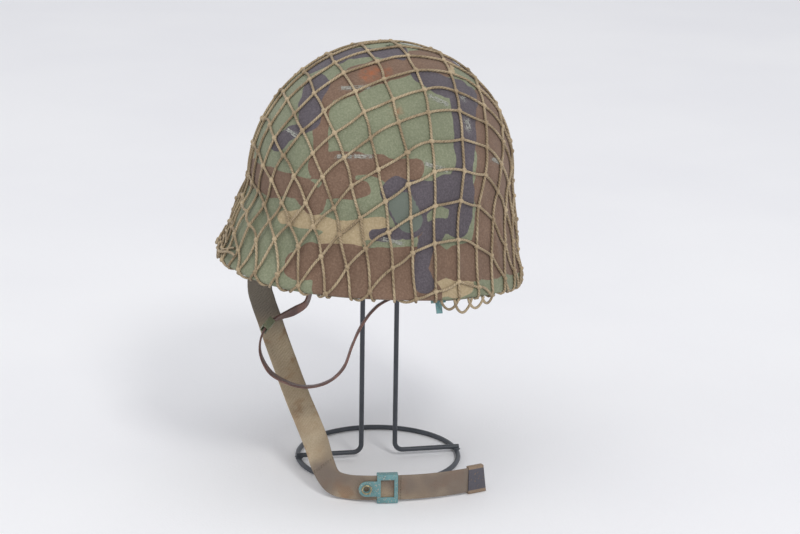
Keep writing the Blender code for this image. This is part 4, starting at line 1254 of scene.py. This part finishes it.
def stud_stations(side):
    """The strap's end under its stud on the liner: above, at and below the stud."""
    angle = side * math.pi / 2
    point, normal, down = meridian_frame(liner_profile, angle, STUD_PLACE)
    middle = point - normal * (LINER_THICK + STRAP_STAND_OFF + LEATHER_THICK / 2)
    return [turned(angle, middle + down * along) for along in (-STRAP_END, 0, STRAP_END)]


stud_reach = stud_stations(1)[1].x
leather_rows = [tuple(on_head @ point) + (0, -1, 0) for point in stud_stations(1)]
for x, y, z, *width in LEATHER_ROUTE:
    place = Vector((x * stud_reach, y * MILLIMETRE, EQUATOR_HEIGHT + z * MILLIMETRE))
    leather_rows.append(tuple(on_stand @ place) + tuple(width))
leather_rows += [tuple(on_head @ point) + (0, -1, 0) for point in reversed(stud_stations(-1))]

old_leather = Finish("old_leather")
pores = old_leather.grain(1500.0, 3.0)
cracks = old_leather.node(
    "ShaderNodeTexVoronoi", {"feature": "DISTANCE_TO_EDGE"}, {"Vector": old_leather.at, "Scale": 700.0}
)
polish = old_leather.grain(70.0, 4.0).rising(0.38, 0.66)
leather_colour = old_leather.mix(polish, (0.14, 0.072, 0.058), (0.3, 0.16, 0.128))
leather_colour = old_leather.mix(
    (0.12 - cracks).rising(0.0, 0.1) * 0.6, leather_colour, (0.095, 0.055, 0.045)
)
old_leather.surface(
    colour=leather_colour, roughness=0.42 + polish * 0.22,
    height=pores * 0.5 + cracks, depth=0.00025,
)
leather_strap = woven_strap(
    "leather_chin_strap", strap_frames(curve_through(leather_rows, STRAP_STEP)),
    LEATHER_WIDTH, LEATHER_THICK, old_leather, 0.0002
)
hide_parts("leather_strap")
buckle_paint = worn_paint("buckle_paint", (0.215, 0.235, 0.145), (0.4, 0.35, 0.22), 0.58, 0.4)
closer_copy("strap_buckle", "small_buckle", buckle_paint, 0.0003)
for side in ("right", "left"):
    stud_name = "round_stud_" + side
    closer_copy("strap_stud_" + side, stud_name, gritty_paint, 0.0005, 3)

# The stand is black-painted steel wire: a ring on the floor, and one bent wire whose feet are
# welded on the ring and whose arch carries the liner's crown.
RING_CENTRE_RADIUS = 0.068
STAND_WIRE = 0.0041
UPRIGHT_GAP = 0.029
FOOT_BEND = 0.007
ARCH_HALF_WIDTH = 0.048
UPRIGHT_TOP = 0.15
ARCH_SEAT_DROP = 0.00035
STAND_HEADING = math.radians(41.6)
WELD_SINK = 0.0007
WELD_RADIUS = 0.0021
WELD_STRETCH = (1.5, 0.7, 0.55, 1)
SHOULDER_STEPS = 16

wire_radius = STAND_WIRE / 2
foot_height = STAND_WIRE + wire_radius - WELD_SINK
foot_end = RING_CENTRE_RADIUS + wire_radius
half_gap = UPRIGHT_GAP / 2
crown = EQUATOR_HEIGHT + DOME_RISE - STEEL_THICK - SHELL_CLEARANCE - LINER_THICK
arch_top = crown - CLEARANCE - wire_radius - ARCH_SEAT_DROP
half_wire = [(foot_end, foot_height), ((foot_end + half_gap) / 2, foot_height)]
for at, _ in even_angles(0, 90, 9):
    half_wire.append((
        half_gap + FOOT_BEND - FOOT_BEND * math.sin(at),
        foot_height + FOOT_BEND - FOOT_BEND * math.cos(at),
    ))
shoulder = arch_top - ARCH_HALF_WIDTH
for step in range(SHOULDER_STEPS + 1):
    along = step / SHOULDER_STEPS
    ease = along * along * (3 - 2 * along)
    half_wire.append((
        half_gap + (ARCH_HALF_WIDTH - half_gap) * ease,
        UPRIGHT_TOP + (shoulder - UPRIGHT_TOP) * along,
    ))
for at, _ in even_angles(5, 90, 17):
    half_wire.append((ARCH_HALF_WIDTH * math.cos(at), shoulder + ARCH_HALF_WIDTH * math.sin(at)))
stand_turn = on_stand @ Matrix.Rotation(STAND_HEADING, 4, "Z")
wire_line = [stand_turn @ Vector((-reach, 0, height)) for reach, height in half_wire]
wire_line += [stand_turn @ Vector((reach, 0, height)) for reach, height in reversed(half_wire[:-1])]

black_paint = worn_paint("black_paint", (0.066, 0.074, 0.088), (0.2, 0.2, 0.22), 0.7, 0.33)
bent_wire = curves_as_mesh("bent_wire", [wire_line], STAND_WIRE, black_paint, 5)
select_only()
bpy.ops.mesh.primitive_torus_add(
    major_radius=RING_CENTRE_RADIUS, minor_radius=wire_radius,
    major_segments=144, minor_segments=16, location=(0, 0, wire_radius),
)
bpy.ops.object.shade_smooth()
ring = name_piece("floor_ring", black_paint)
ring.data.transform(on_stand @ Matrix.Translation((0, 0, wire_radius)))
ring.location = (0, 0, 0)
select_only()
bpy.ops.mesh.primitive_ico_sphere_add(subdivisions=3, radius=WELD_RADIUS)
weld = name_piece("foot_welds", black_paint)
bpy.ops.object.shade_smooth()
weld_shape = weld.data.copy()
weld.data.clear_geometry()
weld_form = bmesh.new()
for end in (-1, 1):
    for across in (-1, 1):
        bead = weld_shape.copy()
        bead.transform(Matrix.Diagonal(WELD_STRETCH))
        place = Vector((end * RING_CENTRE_RADIUS, across * wire_radius * 0.95, STAND_WIRE * 0.94))
        bead.transform(stand_turn @ Matrix.Translation(place))
        weld_form.from_mesh(bead)
weld_form.to_mesh(weld.data)
weld_form.free()
select_only(weld, ring, bent_wire)
bpy.ops.object.join()
bpy.context.object.name = "wire_stand"
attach(bent_wire, "root")
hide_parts("stand")
